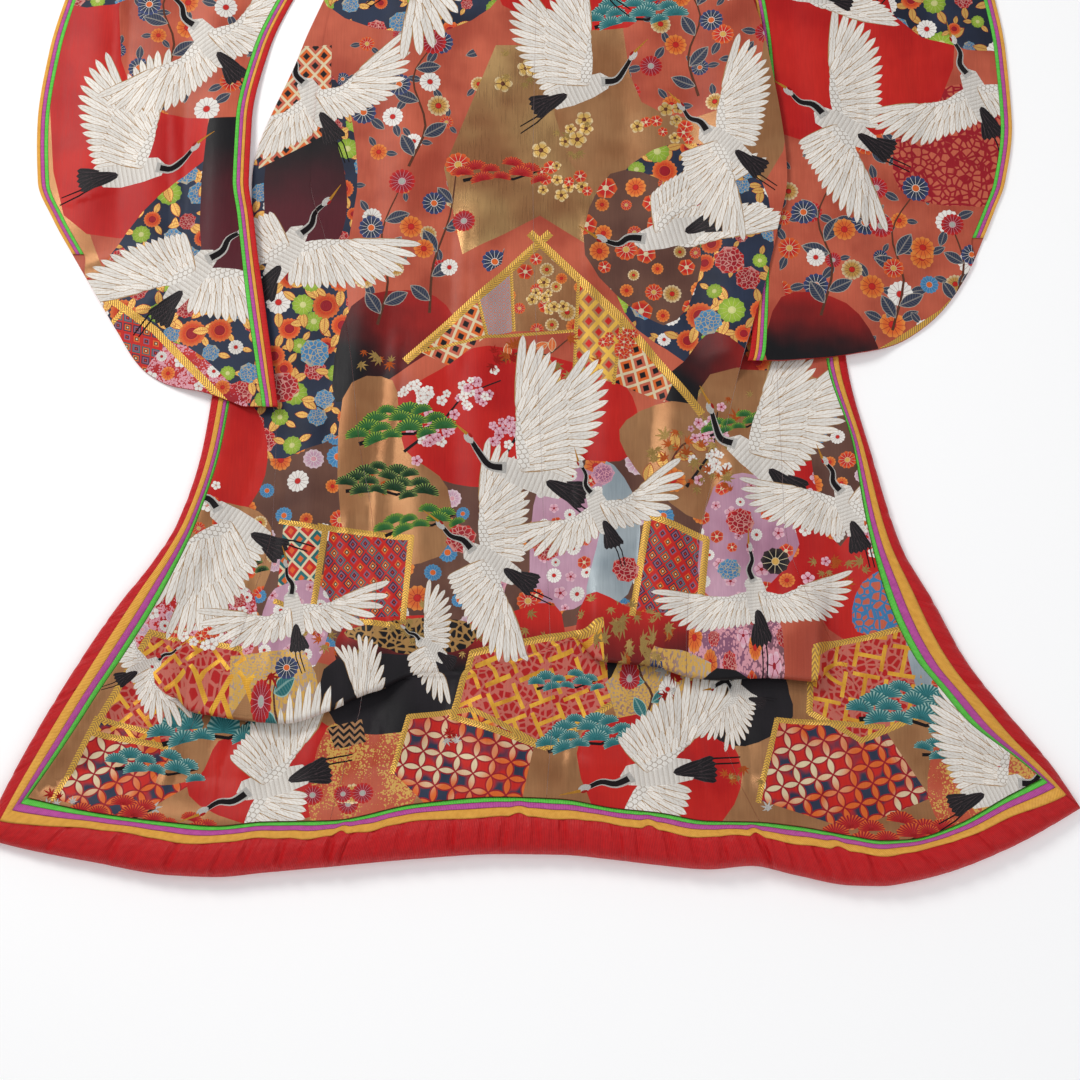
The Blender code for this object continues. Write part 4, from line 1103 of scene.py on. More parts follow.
class Nodes:
    """Adds nodes to one tree, with their values and links given where each node is made."""

    def __init__(self, tree):
        self.tree = tree

    def put(self, socket, value):
        if isinstance(value, bpy.types.NodeSocket):
            self.tree.links.new(value, socket)
        else:
            socket.default_value = value

    def add(self, kind, inputs, **settings):
        node = self.tree.nodes.new(kind)
        for key, value in settings.items():
            setattr(node, key, value)
        for place, value in inputs.items():
            self.put(node.inputs[place], value)
        return node

    def math(self, operation, *values):
        return self.add("ShaderNodeMath", dict(enumerate(values)), operation=operation).outputs[0]

    def plus(self, a, b):
        return self.math("ADD", a, b)

    def minus(self, a, b):
        return self.math("SUBTRACT", a, b)

    def times(self, a, b):
        return self.math("MULTIPLY", a, b)

    def vector(self, operation, *values):
        inputs = dict(zip((0, "Scale") if operation == "SCALE" else (0, 1), values))
        return self.add("ShaderNodeVectorMath", inputs, operation=operation).outputs

    def step(self, value, low, high):
        """0 below low, 1 above high, and smooth between; low may be the larger, to turn it round."""
        inputs = {"Value": value, "From Min": low, "From Max": high}
        return self.add("ShaderNodeMapRange", inputs, interpolation_type="SMOOTHSTEP").outputs[0]

    def mix(self, factor, a, b):
        inputs = {0: factor, 6: a, 7: b}
        return self.add("ShaderNodeMix", inputs, data_type="RGBA").outputs[2]

    def noise(self, vector, scale, detail=2.0):
        inputs = {"Vector": vector, "Scale": scale, "Detail": detail}
        return self.add("ShaderNodeTexNoise", inputs).outputs[0]

    def split(self, vector):
        return self.add("ShaderNodeSeparateXYZ", {0: vector}).outputs

    def join(self, x, y):
        return self.add("ShaderNodeCombineXYZ", {0: x, 1: y}).outputs[0]

    def uv(self, name):
        return self.add("ShaderNodeUVMap", {}, uv_map=name).outputs[0]

    def group(self, tree, inputs):
        node = self.tree.nodes.new("ShaderNodeGroup")
        node.node_tree = tree
        for place, value in inputs.items():
            self.put(node.inputs[place], value)
        return node.outputs


def new_material(name):
    """A material, its shader, and the means to add nodes to it."""
    material = bpy.data.materials.new(name)
    material.use_nodes = True
    return material, material.node_tree.nodes["Principled BSDF"], Nodes(material.node_tree)


def new_group(name, inputs, outputs):
    tree = bpy.data.node_groups.new(name, "ShaderNodeTree")
    for label, kind, value in inputs:
        socket = tree.interface.new_socket(label, in_out="INPUT", socket_type="NodeSocket" + kind)
        if value is not None:
            socket.default_value = value
    for label, kind in outputs:
        tree.interface.new_socket(label, in_out="OUTPUT", socket_type="NodeSocket" + kind)
    n = Nodes(tree)
    return tree, n, tree.nodes.new("NodeGroupInput").outputs, tree.nodes.new("NodeGroupOutput").inputs


def weave_group():
    """Ribs of weft with uneven threads: a height for the bump, and a tint that varies over the cloth."""
    tree, n, given, out = new_group("silk_weave", (("Map", "Vector", None), ("Pitch", "Float", 0.0012)),
                                    (("Height", "Float"), ("Tint", "Float")))
    x, y, _ = n.split(given["Map"])
    turn = n.math("DIVIDE", 2 * math.pi, given["Pitch"])
    uneven = n.noise(given["Map"], 260.0)
    rib = n.math("SINE", n.plus(n.times(y, turn), n.times(uneven, 3.0)))
    warp = n.math("SINE", n.times(n.plus(x, n.times(y, 0.5)), turn))
    height = n.plus(n.times(rib, 0.6), n.times(warp, 0.4))
    streaks = n.noise(n.join(n.times(x, 420.0), n.times(y, 26.0)), 1.0)
    patches = n.noise(given["Map"], 14.0)
    tint = n.plus(n.times(streaks, 0.55), n.times(patches, 0.45))
    n.put(out["Height"], n.plus(height, n.times(uneven, 0.8)))
    n.put(out["Tint"], tint)
    return tree


def petal_group():
    """Masks of a feather, petal or leaf drawn on its own map: its outline, its midrib and its threads."""
    tree, n, given, out = new_group(
        "petal_lines", (("Map", "Vector", None), ("Bluntness", "Float", 4.0), ("Fullness", "Float", 0.5),
                        ("Line", "Float", 0.2), ("Rib", "Float", 0.07)),
        (("Outline", "Float"), ("Midrib", "Float"), ("Threads", "Float"), ("Along", "Float")))
    u, v, _ = n.split(given["Map"])
    off_middle = n.math("ABSOLUTE", n.minus(n.times(u, 2.0), 1.0))
    full = n.minus(1.0, n.math("POWER", off_middle, given["Bluntness"]))
    width = n.math("POWER", n.math("MAXIMUM", full, 0.0), given["Fullness"])
    side = n.math("ABSOLUTE", v)
    edge = n.minus(width, side)
    n.put(out["Outline"], n.step(edge, given["Line"], n.times(given["Line"], 0.5)))
    n.put(out["Midrib"], n.step(side, given["Rib"], n.times(given["Rib"], 0.4)))
    slant = n.minus(n.times(u, 60.0), n.times(side, 9.0))
    n.put(out["Threads"], n.math("SINE", slant))
    n.put(out["Along"], u)
    return tree


def rosette_group():
    """Masks of a round flower on its own map: lines between its petals, its tips, rings and centre."""
    tree, n, given, out = new_group(
        "rosette_lines", (("Map", "Vector", None), ("Petals", "Float", 12.0), ("Centre", "Float", 0.24)),
        (("Lines", "Float"), ("Tips", "Float"), ("Centre", "Float"), ("Threads", "Float")))
    x, y, _ = n.split(given["Map"])
    radius = n.vector("LENGTH", given["Map"])[1]
    turn = n.math("ARCTAN2", y, x)
    half_petals = n.times(given["Petals"], 0.5)
    wave = n.math("ABSOLUTE", n.math("COSINE", n.times(turn, half_petals)))
    thick = n.times(n.minus(1.25, radius), 0.36)
    lines = n.step(wave, thick, n.times(thick, 0.4))
    outside = n.step(radius, given["Centre"], n.plus(given["Centre"], 0.05))
    ring = n.step(n.math("ABSOLUTE", n.minus(radius, given["Centre"])), 0.07, 0.03)
    n.put(out["Lines"], n.math("MAXIMUM", n.times(lines, outside), ring))
    n.put(out["Tips"], n.step(radius, 0.55, 0.95))
    n.put(out["Centre"], n.step(radius, n.plus(given["Centre"], 0.02), given["Centre"]))
    n.put(out["Threads"], n.math("SINE", n.times(radius, 46.0)))
    return tree


def diamond_group():
    """A net of diamonds on a map in metres: the distance from the net's lines, and which cell it is."""
    tree, n, given, out = new_group(
        "diamond_net", (("Map", "Vector", None), ("Width", "Float", 0.02), ("Height", "Float", 0.026)),
        (("From centre", "Float"), ("Odd", "Float"), ("Third", "Float")))
    x, y, _ = n.split(given["Map"])
    a = n.math("DIVIDE", x, given["Width"])
    b = n.math("DIVIDE", y, given["Height"])
    p, q = n.plus(a, b), n.minus(a, b)
    from_p = n.math("ABSOLUTE", n.minus(n.math("FRACT", p), 0.5))
    from_q = n.math("ABSOLUTE", n.minus(n.math("FRACT", q), 0.5))
    n.put(out["From centre"], n.times(n.math("MAXIMUM", from_p, from_q), 2.0))
    n.put(out["Odd"], n.math("FLOORED_MODULO", n.plus(n.math("FLOOR", p), n.math("FLOOR", q)), 2.0))
    n.put(out["Third"], n.math("FLOORED_MODULO", n.math("FLOOR", p), 3.0))
    return tree


def speckle_group():
    """Scattered flakes, thick in drifts and sparse between them."""
    tree, n, given, out = new_group("gold_flakes", (("Map", "Vector", None), ("Amount", "Float", 0.5)),
                                    (("Flakes", "Float"),))
    cells = n.add("ShaderNodeTexVoronoi", {"Vector": given["Map"], "Scale": 330.0, "Randomness": 1.0})
    drift = n.plus(n.noise(given["Map"], 22.0, 3.0), n.minus(given["Amount"], 0.5))
    size = n.times(n.step(drift, 0.38, 0.66), 0.62)
    n.put(out["Flakes"], n.math("LESS_THAN", cells.outputs["Distance"], size))
    return tree


WEAVE = weave_group()
PETAL = petal_group()
ROSETTE = rosette_group()
DIAMONDS = diamond_group()
FLAKES = speckle_group()

# Thread colours
WHITE = (0.92, 0.88, 0.82, 1)
CREAM = (0.80, 0.66, 0.42, 1)
GOLD = (0.72, 0.42, 0.10, 1)
OLD_GOLD = (0.44, 0.24, 0.08, 1)
BROWN = (0.16, 0.055, 0.03, 1)
BLACK = (0.010, 0.009, 0.011, 1)
NAVY = (0.030, 0.042, 0.080, 1)
RED = (0.62, 0.022, 0.016, 1)
CRIMSON = (0.36, 0.012, 0.022, 1)
ORANGE = (0.78, 0.15, 0.028, 1)
CORAL = (0.62, 0.135, 0.075, 1)
PINK = (0.78, 0.36, 0.42, 1)
LILAC = (0.62, 0.36, 0.47, 1)
MAUVE = (0.30, 0.12, 0.20, 1)
BLUE = (0.055, 0.22, 0.46, 1)
PALE_BLUE = (0.46, 0.52, 0.55, 1)
TEAL = (0.020, 0.155, 0.165, 1)
MINT = (0.36, 0.56, 0.50, 1)
GREEN = (0.018, 0.105, 0.030, 1)
LIME = (0.36, 0.52, 0.05, 1)
TAUPE = (0.175, 0.080, 0.055, 1)
BEIGE = (0.47, 0.235, 0.105, 1)

CLOTH_GLOSS = 0.16
# Shade of a woven cloth: its darkest, and what the weave's tint and a figure's tone add to it
SHADE_BASE, SHADE_TINT, SHADE_TONE = 0.44, 0.45, 0.30


def cloth_material(name, paint, roughness, metallic=0.0, bump=0.35, pitch=0.0012, rough_by=0.14):
    """A woven silk finish. paint(nodes, map) gives its colour and perhaps a height on the figure's map."""
    material, shader, n = new_material(name)
    woven = n.group(WEAVE, {"Map": n.uv("cloth"), "Pitch": pitch})
    tone = n.add("ShaderNodeAttribute", {}, attribute_name="tone").outputs["Fac"]
    colour, height = paint(n, n.uv("figure"))
    shade = n.plus(n.times(woven["Tint"], SHADE_TINT), n.times(tone, SHADE_TONE))
    lit = n.vector("SCALE", colour, n.plus(shade, SHADE_BASE))[0]
    n.put(shader.inputs["Base Color"], lit)
    shader.inputs["Metallic"].default_value = metallic
    shader.inputs["Specular IOR Level"].default_value = CLOTH_GLOSS
    low, high = roughness - rough_by / 2, roughness + rough_by / 2
    spread = {"Value": woven["Tint"], "From Min": 0.3, "From Max": 0.7, "To Min": low, "To Max": high}
    n.put(shader.inputs["Roughness"], n.add("ShaderNodeMapRange", spread).outputs[0])
    total = n.times(woven["Height"], 0.25)
    if height is not None:
        total = n.plus(total, height)
    bumped = n.add("ShaderNodeBump", {"Strength": bump, "Distance": 0.0006, "Height": total})
    n.put(shader.inputs["Normal"], bumped.outputs[0])
    return material


def satin(colour, other, scale=9.0):
    """Plain cloth whose colour drifts softly between two shades."""
    def paint(n, place):
        drift = n.step(n.noise(n.uv("cloth"), scale, 3.0), 0.35, 0.68)
        return n.mix(drift, colour, other), None
    return paint


def flaked(colour, other, flake, amount):
    def paint(n, place):
        ground, _ = satin(colour, other)(n, place)
        flakes = n.group(FLAKES, {"Map": n.uv("cloth"), "Amount": amount})["Flakes"]
        return n.mix(flakes, ground, flake), n.times(flakes, 0.8)
    return paint


def shaded(colour, other):
    """Runs from one colour to another up the figure's own map, from 0 to 1."""
    def paint(n, place):
        _, v, _ = n.split(place)
        wobble = n.times(n.minus(n.noise(n.uv("cloth"), 16.0), 0.5), 0.3)
        return n.mix(n.step(n.plus(v, wobble), 0.15, 0.85), colour, other), None
    return paint


def net(ground, line, inner, width, height, line_at=0.80, inner_at=0.40, second=None):
    """A diamond net: lines, cells, and a small diamond in each cell."""
    def paint(n, place):
        cell = n.group(DIAMONDS, {"Map": place, "Width": width, "Height": height})
        base = ground if second is None else n.mix(cell["Odd"], ground, second)
        small = n.step(cell["From centre"], inner_at, inner_at - 0.10)
        lines = n.step(cell["From centre"], line_at - 0.06, line_at)
        return n.mix(lines, n.mix(small, base, inner), line), n.times(lines, 1.2)
    return paint


def lattice(n, place):
    """Nested diamonds in changing colours inside a cream net."""
    cell = n.group(DIAMONDS, {"Map": place, "Width": 0.019, "Height": 0.024})
    reach = cell["From centre"]
    outer = n.mix(n.math("COMPARE", cell["Third"], 1.0, 0.5), RED, NAVY)
    outer = n.mix(n.math("COMPARE", cell["Third"], 2.0, 0.5), outer, TEAL)
    colour = n.mix(n.step(reach, 0.62, 0.58), outer, n.mix(cell["Odd"], ORANGE, MAUVE))
    colour = n.mix(n.step(reach, 0.36, 0.32), colour, BLACK)
    colour = n.mix(n.step(reach, 0.20, 0.16), colour, n.mix(cell["Odd"], CREAM, RED))
    lines = n.step(reach, 0.80, 0.86)
    return n.mix(lines, colour, RED), n.times(lines, 0.8)


def seven_treasures(n, place):
    """Overlapping circles: four lens shapes round each star-shaped cell."""
    spot = n.vector("FRACTION", n.vector("DIVIDE", place, (0.026, 0.026, 1.0))[0])[0]
    count, rim = None, None
    for corner in ((0, 0, 0), (1, 0, 0), (0, 1, 0), (1, 1, 0)):
        reach = n.vector("DISTANCE", spot, corner)[1]
        inside = n.step(reach, 0.72, 0.69)
        edge = n.step(n.math("ABSOLUTE", n.minus(reach, 0.705)), 0.055, 0.025)
        count = inside if count is None else n.plus(count, inside)
        rim = edge if rim is None else n.math("MAXIMUM", rim, edge)
    lens = n.step(count, 1.4, 1.6)
    middle = n.step(n.vector("DISTANCE", spot, (0.5, 0.0, 0.0))[1], 0.20, 0.14)
    star = n.mix(n.step(n.noise(place, 18.0), 0.45, 0.55), RED, NAVY)
    lenses = n.mix(n.step(n.noise(place, 9.0), 0.42, 0.58), CREAM, ORANGE)
    colour = n.mix(lens, n.mix(middle, star, ORANGE), lenses)
    return n.mix(rim, colour, CRIMSON), n.minus(lens, rim)


def sea_waves(n, place):
    """Rows of small nested arcs."""
    x, y, _ = n.split(place)
    row = n.math("DIVIDE", y, 0.006)
    across = n.plus(n.math("DIVIDE", x, 0.013), n.times(n.math("FLOOR", row), 0.5))
    sideways = n.times(n.minus(n.math("FRACT", across), 0.5), 2.0)
    spot = n.join(sideways, n.math("FRACT", row))
    rings = n.math("SINE", n.times(n.vector("LENGTH", spot)[1], 17.0))
    return n.mix(n.step(rings, -0.2, 0.2), (0.20, 0.42, 0.50, 1), ORANGE), n.times(rings, 0.5)


def pebbles(line, stone):
    def paint(n, place):
        cells = n.add("ShaderNodeTexVoronoi", {"Vector": place, "Scale": 95.0}, feature="DISTANCE_TO_EDGE")
        lines = n.step(cells.outputs["Distance"], 0.16, 0.09)
        return n.mix(lines, stone, line), lines
    return paint


def braid(n, place):
    """A bar of slanting gold cords."""
    x, y, _ = n.split(place)
    along = n.plus(x, n.times(n.math("ABSOLUTE", y), 0.9))
    slant = n.math("SINE", n.times(along, 1500.0))
    return n.mix(n.step(slant, -0.5, 0.3), OLD_GOLD, (0.85, 0.50, 0.08, 1)), n.times(slant, 0.8)


def chevrons(n, place):
    x, y, _ = n.split(place)
    zigzag = n.times(n.math("PINGPONG", n.math("DIVIDE", x, 0.008), 1.0), 5.0)
    band = n.math("SINE", n.plus(n.times(y, 620.0), zigzag))
    return n.mix(n.step(band, -0.15, 0.15), BLACK, BEIGE), None


def plume(fill, line, bluntness=4.0, fullness=0.5, width=0.20, rib=0.07, root=None):
    """A feather, petal or leaf with its outline and midrib, and a root colour that paints shade towards its
    base.
    """
    def paint(n, place):
        drawn = n.group(PETAL, {"Map": place, "Bluntness": bluntness, "Fullness": fullness, "Line": width,
                                "Rib": rib})
        # Painted shade: the body darkens to the root colour near its base, where feathers lie under the
        # shorter rows
        body = n.mix(n.step(drawn["Along"], 0.45, 0.0), fill, root or fill)
        body = n.mix(n.times(n.step(drawn["Threads"], 0.0, 1.0), 0.16), body, line)
        colour = n.mix(n.times(drawn["Midrib"], 0.55), body, line)
        height = n.minus(n.times(drawn["Threads"], 0.25), drawn["Outline"])
        return n.mix(drawn["Outline"], colour, line), height
    return paint


def rosette(fill, line, tip, centre, petals=12, middle=0.24):
    def paint(n, place):
        drawn = n.group(ROSETTE, {"Map": place, "Petals": float(petals), "Centre": middle})
        colour = n.mix(n.times(drawn["Tips"], 0.8), fill, tip)
        colour = n.mix(drawn["Centre"], n.mix(drawn["Lines"], colour, line), centre)
        height = n.minus(n.times(drawn["Threads"], 0.2), drawn["Lines"])
        return colour, height
    return paint


def scales(fill, line):
    """Small overlapping feathers, as rows of arcs."""
    def paint(n, place):
        x, y, _ = n.split(place)
        row = n.math("DIVIDE", x, 0.062)
        across = n.plus(n.math("DIVIDE", y, 0.070), n.times(n.math("FLOOR", row), 0.5))
        sideways = n.times(n.minus(n.math("FRACT", across), 0.5), 1.7)
        spot = n.join(n.math("FRACT", n.times(row, -1.0)), sideways)
        rim = n.step(n.math("ABSOLUTE", n.minus(n.vector("LENGTH", spot)[1], 0.85)), 0.14, 0.05)
        return n.mix(n.times(rim, 0.75), fill, line), n.times(rim, -0.6)
    return paint


def needles(dark, light, tip):
    """A fan of pine needles from the middle of its own map."""
    def paint(n, place):
        x, y, _ = n.split(place)
        radius = n.vector("LENGTH", place)[1]
        wave = n.math("COSINE", n.times(n.math("ARCTAN2", y, x), 26.0))
        blade = n.mix(n.step(radius, 0.45, 0.95), light, tip)
        return n.mix(n.step(wave, -0.1, 0.4), dark, blade), n.times(wave, 0.6)
    return paint


def petals_in_cells(fill, line, tip):
    """A full blown flower: many petals outlined in thread, paler towards the rim."""
    def paint(n, place):
        cells = n.add("ShaderNodeTexVoronoi", {"Vector": place, "Scale": 3.4}, feature="DISTANCE_TO_EDGE")
        lines = n.step(cells.outputs["Distance"], 0.10, 0.05)
        petal = n.mix(n.step(n.vector("LENGTH", place)[1], 0.5, 1.0), fill, tip)
        return n.mix(lines, petal, line), n.times(lines, -1.0)
    return paint


def thread(colour):
    def paint(n, place):
        ribs = n.math("SINE", n.times(n.split(place)[0], 3200.0))
        return n.mix(n.step(ribs, -1.0, 0.6), tuple(c * 0.6 for c in colour[:3]) + (1,), colour), ribs
    return paint


# Grounds: name, paint, roughness, metallic
GROUNDS = (
    ("coral", satin(CORAL, (0.42, 0.070, 0.040, 1)), 0.36, 0.0),
    ("scarlet", satin(RED, (0.50, 0.012, 0.012, 1)), 0.40, 0.0),
    ("gold", satin(BEIGE, (0.36, 0.155, 0.065, 1)), 0.36, 0.45),
    ("lame", satin((0.62, 0.38, 0.16, 1), (0.34, 0.15, 0.065, 1), 6.0), 0.30, 0.60),
    ("navy", satin(NAVY, (0.018, 0.022, 0.040, 1)), 0.50, 0.0),
    ("taupe", satin(TAUPE, (0.115, 0.048, 0.036, 1)), 0.55, 0.0),
    ("black", satin(BLACK, (0.022, 0.018, 0.022, 1)), 0.46, 0.0),
    ("black_to_red", shaded(BLACK, RED), 0.42, 0.0),
    ("wine_to_black", shaded((0.10, 0.012, 0.020, 1), BLACK), 0.42, 0.0),
    ("pale_blue", satin(PALE_BLUE, (0.30, 0.36, 0.40, 1)), 0.36, 0.15),
    ("lilac", satin(LILAC, (0.46, 0.22, 0.32, 1)), 0.42, 0.0),
    ("coral_flaked", flaked(CORAL, (0.52, 0.085, 0.04, 1), GOLD, 0.55), 0.42, 0.0),
    ("pale_flaked", flaked((0.52, 0.42, 0.36, 1), (0.36, 0.18, 0.13, 1), GOLD, 0.75), 0.42, 0.1),
    ("red_flaked", flaked(RED, CRIMSON, PINK, 0.62), 0.44, 0.0),
    ("mauve_flaked", flaked(MAUVE, TAUPE, PINK, 0.60), 0.46, 0.0),
    ("lattice", lattice, 0.46, 0.0),
    ("fishnet", net(BEIGE, (0.85, 0.50, 0.08, 1), RED, 0.030, 0.036, 0.74, 0.44), 0.42, 0.2),
    ("check", net(ORANGE, CREAM, BLACK, 0.028, 0.032, 0.84, 0.46, CORAL), 0.44, 0.0),
    ("teal_net", net(TEAL, CREAM, ORANGE, 0.026, 0.030, 0.86, 0.42, RED), 0.44, 0.0),
    ("treasures", seven_treasures, 0.44, 0.05),
    ("waves", sea_waves, 0.44, 0.0),
    ("pebbles", pebbles(OLD_GOLD, BLACK), 0.46, 0.1),
    ("red_pebbles", pebbles(CRIMSON, CORAL), 0.46, 0.0),
    ("blue_pebbles", pebbles(BLUE, CORAL), 0.46, 0.0),
    ("braid", braid, 0.36, 0.45),
    ("chevrons", chevrons, 0.46, 0.0),
    ("fret_bed", pebbles((0.62, 0.16, 0.12, 1), (0.50, 0.015, 0.015, 1)), 0.46, 0.0),
)
# Figures: name, paint, roughness, metallic
FIGURES = (
    ("fret_bar", satin((0.95, 0.52, 0.06, 1), (0.70, 0.30, 0.03, 1), 30.0), 0.36, 0.25),
    ("black_line", thread((0.020, 0.016, 0.018, 1)), 0.50, 0.0),
    ("brown_line", thread(BROWN), 0.50, 0.0),
    # The feather's grey-brown third colour is painted shade towards its root
    ("feather", plume(WHITE, OLD_GOLD, 4.0, 0.5, 0.22, 0.08, (0.66, 0.58, 0.50, 1)), 0.52, 0.0),
    ("black_plume", plume(BLACK, (0.07, 0.045, 0.05, 1), 4.0, 0.5, 0.20, 0.10), 0.46, 0.0),
    ("down", scales(WHITE, (0.38, 0.28, 0.20, 1)), 0.52, 0.0),
    ("white_silk", thread(WHITE), 0.50, 0.0),
    ("crown", thread(RED), 0.46, 0.0),
    ("beak", thread((0.90, 0.40, 0.05, 1)), 0.40, 0.1),
    ("mum_red", rosette(RED, CREAM, ORANGE, GOLD), 0.46, 0.0),
    ("mum_orange", rosette(ORANGE, CRIMSON, (0.85, 0.30, 0.06, 1), RED), 0.46, 0.0),
    ("mum_crimson", rosette(CRIMSON, PINK, RED, (0.45, 0.45, 0.40, 1), 16), 0.46, 0.0),
    ("mum_white", rosette(WHITE, (0.45, 0.30, 0.28, 1), WHITE, RED, 14), 0.50, 0.0),
    ("mum_pink", rosette(LILAC, WHITE, (0.80, 0.62, 0.66, 1), PINK, 12), 0.48, 0.0),
    ("mum_blue", rosette(BLUE, (0.36, 0.56, 0.66, 1), (0.10, 0.30, 0.50, 1), ORANGE, 14, 0.30), 0.46, 0.0),
    ("mum_navy", rosette(NAVY, WHITE, (0.05, 0.07, 0.20, 1), ORANGE, 14), 0.46, 0.0),
    ("mum_lime", rosette(LIME, (0.62, 0.70, 0.22, 1), (0.24, 0.40, 0.04, 1), (0.75, 0.74, 0.30, 1)),
     0.46, 0.0),
    ("mum_gold", rosette((0.62, 0.33, 0.08, 1), BROWN, CREAM, RED, 14), 0.40, 0.3),
    ("mum_black", rosette(BLACK, CREAM, (0.05, 0.03, 0.03, 1), GOLD, 10), 0.46, 0.0),
    ("ring_orange", rosette((0.70, 0.06, 0.02, 1), ORANGE, (0.82, 0.22, 0.05, 1), CRIMSON, 18, 0.42),
     0.46, 0.0),
    ("plum_white", rosette(WHITE, (0.62, 0.40, 0.34, 1), WHITE, (0.70, 0.30, 0.24, 1), 5, 0.18), 0.50, 0.0),
    ("plum_pink", rosette((0.80, 0.40, 0.50, 1), CRIMSON, (0.84, 0.60, 0.66, 1), CRIMSON, 5, 0.18),
     0.50, 0.0),
    ("plum_red", rosette(RED, CREAM, ORANGE, CREAM, 6, 0.20), 0.46, 0.0),
    ("plum_gold", rosette((0.75, 0.46, 0.12, 1), BROWN, CREAM, BROWN, 5, 0.20), 0.36, 0.4),
    ("peony_red", petals_in_cells(CRIMSON, (0.70, 0.30, 0.26, 1), RED), 0.46, 0.0),
    ("peony_blue", petals_in_cells(BLUE, (0.50, 0.42, 0.30, 1), (0.10, 0.32, 0.52, 1)), 0.46, 0.0),
    ("peony_mauve", petals_in_cells((0.34, 0.12, 0.22, 1), PINK, LILAC), 0.46, 0.0),
    ("maple_red", thread(RED), 0.46, 0.0),
    ("maple_orange", thread(ORANGE), 0.44, 0.0),
    ("maple_gold", thread((0.78, 0.50, 0.16, 1)), 0.34, 0.45),
    ("maple_white", thread(WHITE), 0.50, 0.0),
    ("leaf_navy", plume(NAVY, (0.45, 0.40, 0.34, 1), 2.0, 1.0, 0.16, 0.12), 0.48, 0.0),
    ("leaf_teal", plume(TEAL, MINT, 2.0, 1.0, 0.18, 0.14), 0.48, 0.0),
    ("leaf_gold", plume((0.80, 0.46, 0.12, 1), CRIMSON, 2.0, 1.0, 0.16, 0.12), 0.38, 0.35),
    ("leaf_orange", plume(ORANGE, CREAM, 2.0, 1.0, 0.20, 0.12), 0.44, 0.0),
    ("pine_green", needles(GREEN, (0.05, 0.22, 0.05, 1), LIME), 0.48, 0.0),
    ("pine_dark", needles(BLACK, GREEN, (0.30, 0.42, 0.10, 1)), 0.48, 0.0),
    ("pine_teal", needles(TEAL, (0.05, 0.26, 0.28, 1), MINT), 0.48, 0.0),
    ("pine_red", needles(CRIMSON, RED, ORANGE), 0.48, 0.0),
)


def make_finishes():
    """Every woven finish by its name: grounds lie flat, figures have coarser floating threads."""
    finishes = {}
    for name, paint, roughness, metallic in GROUNDS:
        finishes[name] = cloth_material(name, paint, roughness, metallic)
    for name, paint, roughness, metallic in FIGURES:
        finishes[name] = cloth_material(name, paint, roughness, metallic, bump=0.6, pitch=0.0016)
    return finishes


def strip_material(name, colour, edge, twill=0.0, gathered=0.0):
    """A ribbed silk strip with fine uneven ribs, and with small gathers across it where they are wanted."""
    material, shader, n = new_material(name)
    place = n.uv("cloth")
    x, y, _ = n.split(place)
    ribs = n.math("SINE", n.times(n.plus(y, n.times(x, twill)), 2600.0))
    uneven = n.noise(place, 120.0, 3.0)
    drift = n.plus(n.times(n.step(ribs, -1.0, 1.0), 0.35), n.times(uneven, 0.65))
    n.put(shader.inputs["Base Color"], n.mix(n.step(drift, 0.2, 0.7), edge, colour))
    shader.inputs["Roughness"].default_value = 0.46
    shader.inputs["Specular IOR Level"].default_value = 0.25
    height = n.plus(n.times(ribs, 0.12 if gathered > 2 else 0.5), uneven)
    if gathered:
        across = n.join(n.times(x, 7.0), n.times(y, 62.0))
        height = n.plus(height, n.times(n.noise(across, 1.0, 2.0), gathered))
    bumped = n.add("ShaderNodeBump",
                   {"Strength": 0.5, "Distance": 0.0008 + gathered * 0.0006, "Height": height})
    n.put(shader.inputs["Normal"], bumped.outputs[0])
    return material


def make_strip_finishes():
    return {
        "green": strip_material("trim_green_silk", (0.15, 0.70, 0.09, 1), (0.07, 0.44, 0.04, 1), 0.0, 1.5),
        "purple": strip_material("trim_purple_silk", (0.60, 0.10, 0.40, 1), (0.36, 0.05, 0.24, 1), 0.0, 1.5),
        "yellow": strip_material("trim_yellow_silk", (0.92, 0.48, 0.08, 1), (0.66, 0.28, 0.035, 1), 1.0, 1.5),
        "red": strip_material("furi_red_silk", (0.60, 0.012, 0.010, 1), (0.40, 0.006, 0.008, 1)),
        "fuki": strip_material("fuki_red_silk", (0.58, 0.010, 0.012, 1), (0.42, 0.005, 0.009, 1), 0.0, 6.0),
        "lining": strip_material("lining_red_silk", (0.50, 0.014, 0.014, 1), (0.34, 0.008, 0.010, 1)),
    }


def heading(angle, length=1.0):
    return np.array((math.cos(math.radians(angle)), math.sin(math.radians(angle)))) * length


class Frame:
    """A place on the plan: local points are turned, scaled and moved there."""

    def __init__(self, origin, angle=0.0, scale=1.0, mirror=False):
        self.origin = np.array(origin, dtype=float)
        self.axes = np.column_stack((heading(angle, scale), heading(angle + 90, -scale if mirror else scale)))

    def place(self, points):
        return np.asarray(points, dtype=float) @ self.axes.T + self.origin

    def within(self, origin, angle, length, width):
        """A frame inside this one, as long and as wide as given, for a petal or a feather."""
        inner = Frame(self.place(origin))
        inner.axes = self.axes @ np.column_stack((heading(angle, length), heading(angle + 90, width)))
        return inner


def petal(bluntness, fullness, count=6):
    """The outline of a feather, petal or leaf, 1 long and 1 wide to each side."""
    u = 0.5 - 0.5 * np.cos(np.linspace(0, math.pi, count))
    v = np.maximum(1 - np.abs(2 * u - 1) ** bluntness, 0) ** fullness
    return np.concatenate((np.column_stack((u, -v)), np.column_stack((u[::-1], v[::-1]))[1:-1]))


def round_outline(radii):
    angles = np.linspace(0, 2 * math.pi, len(radii), endpoint=False)
    return np.column_stack((np.cos(angles), np.sin(angles))) * np.array(radii)[:, None]


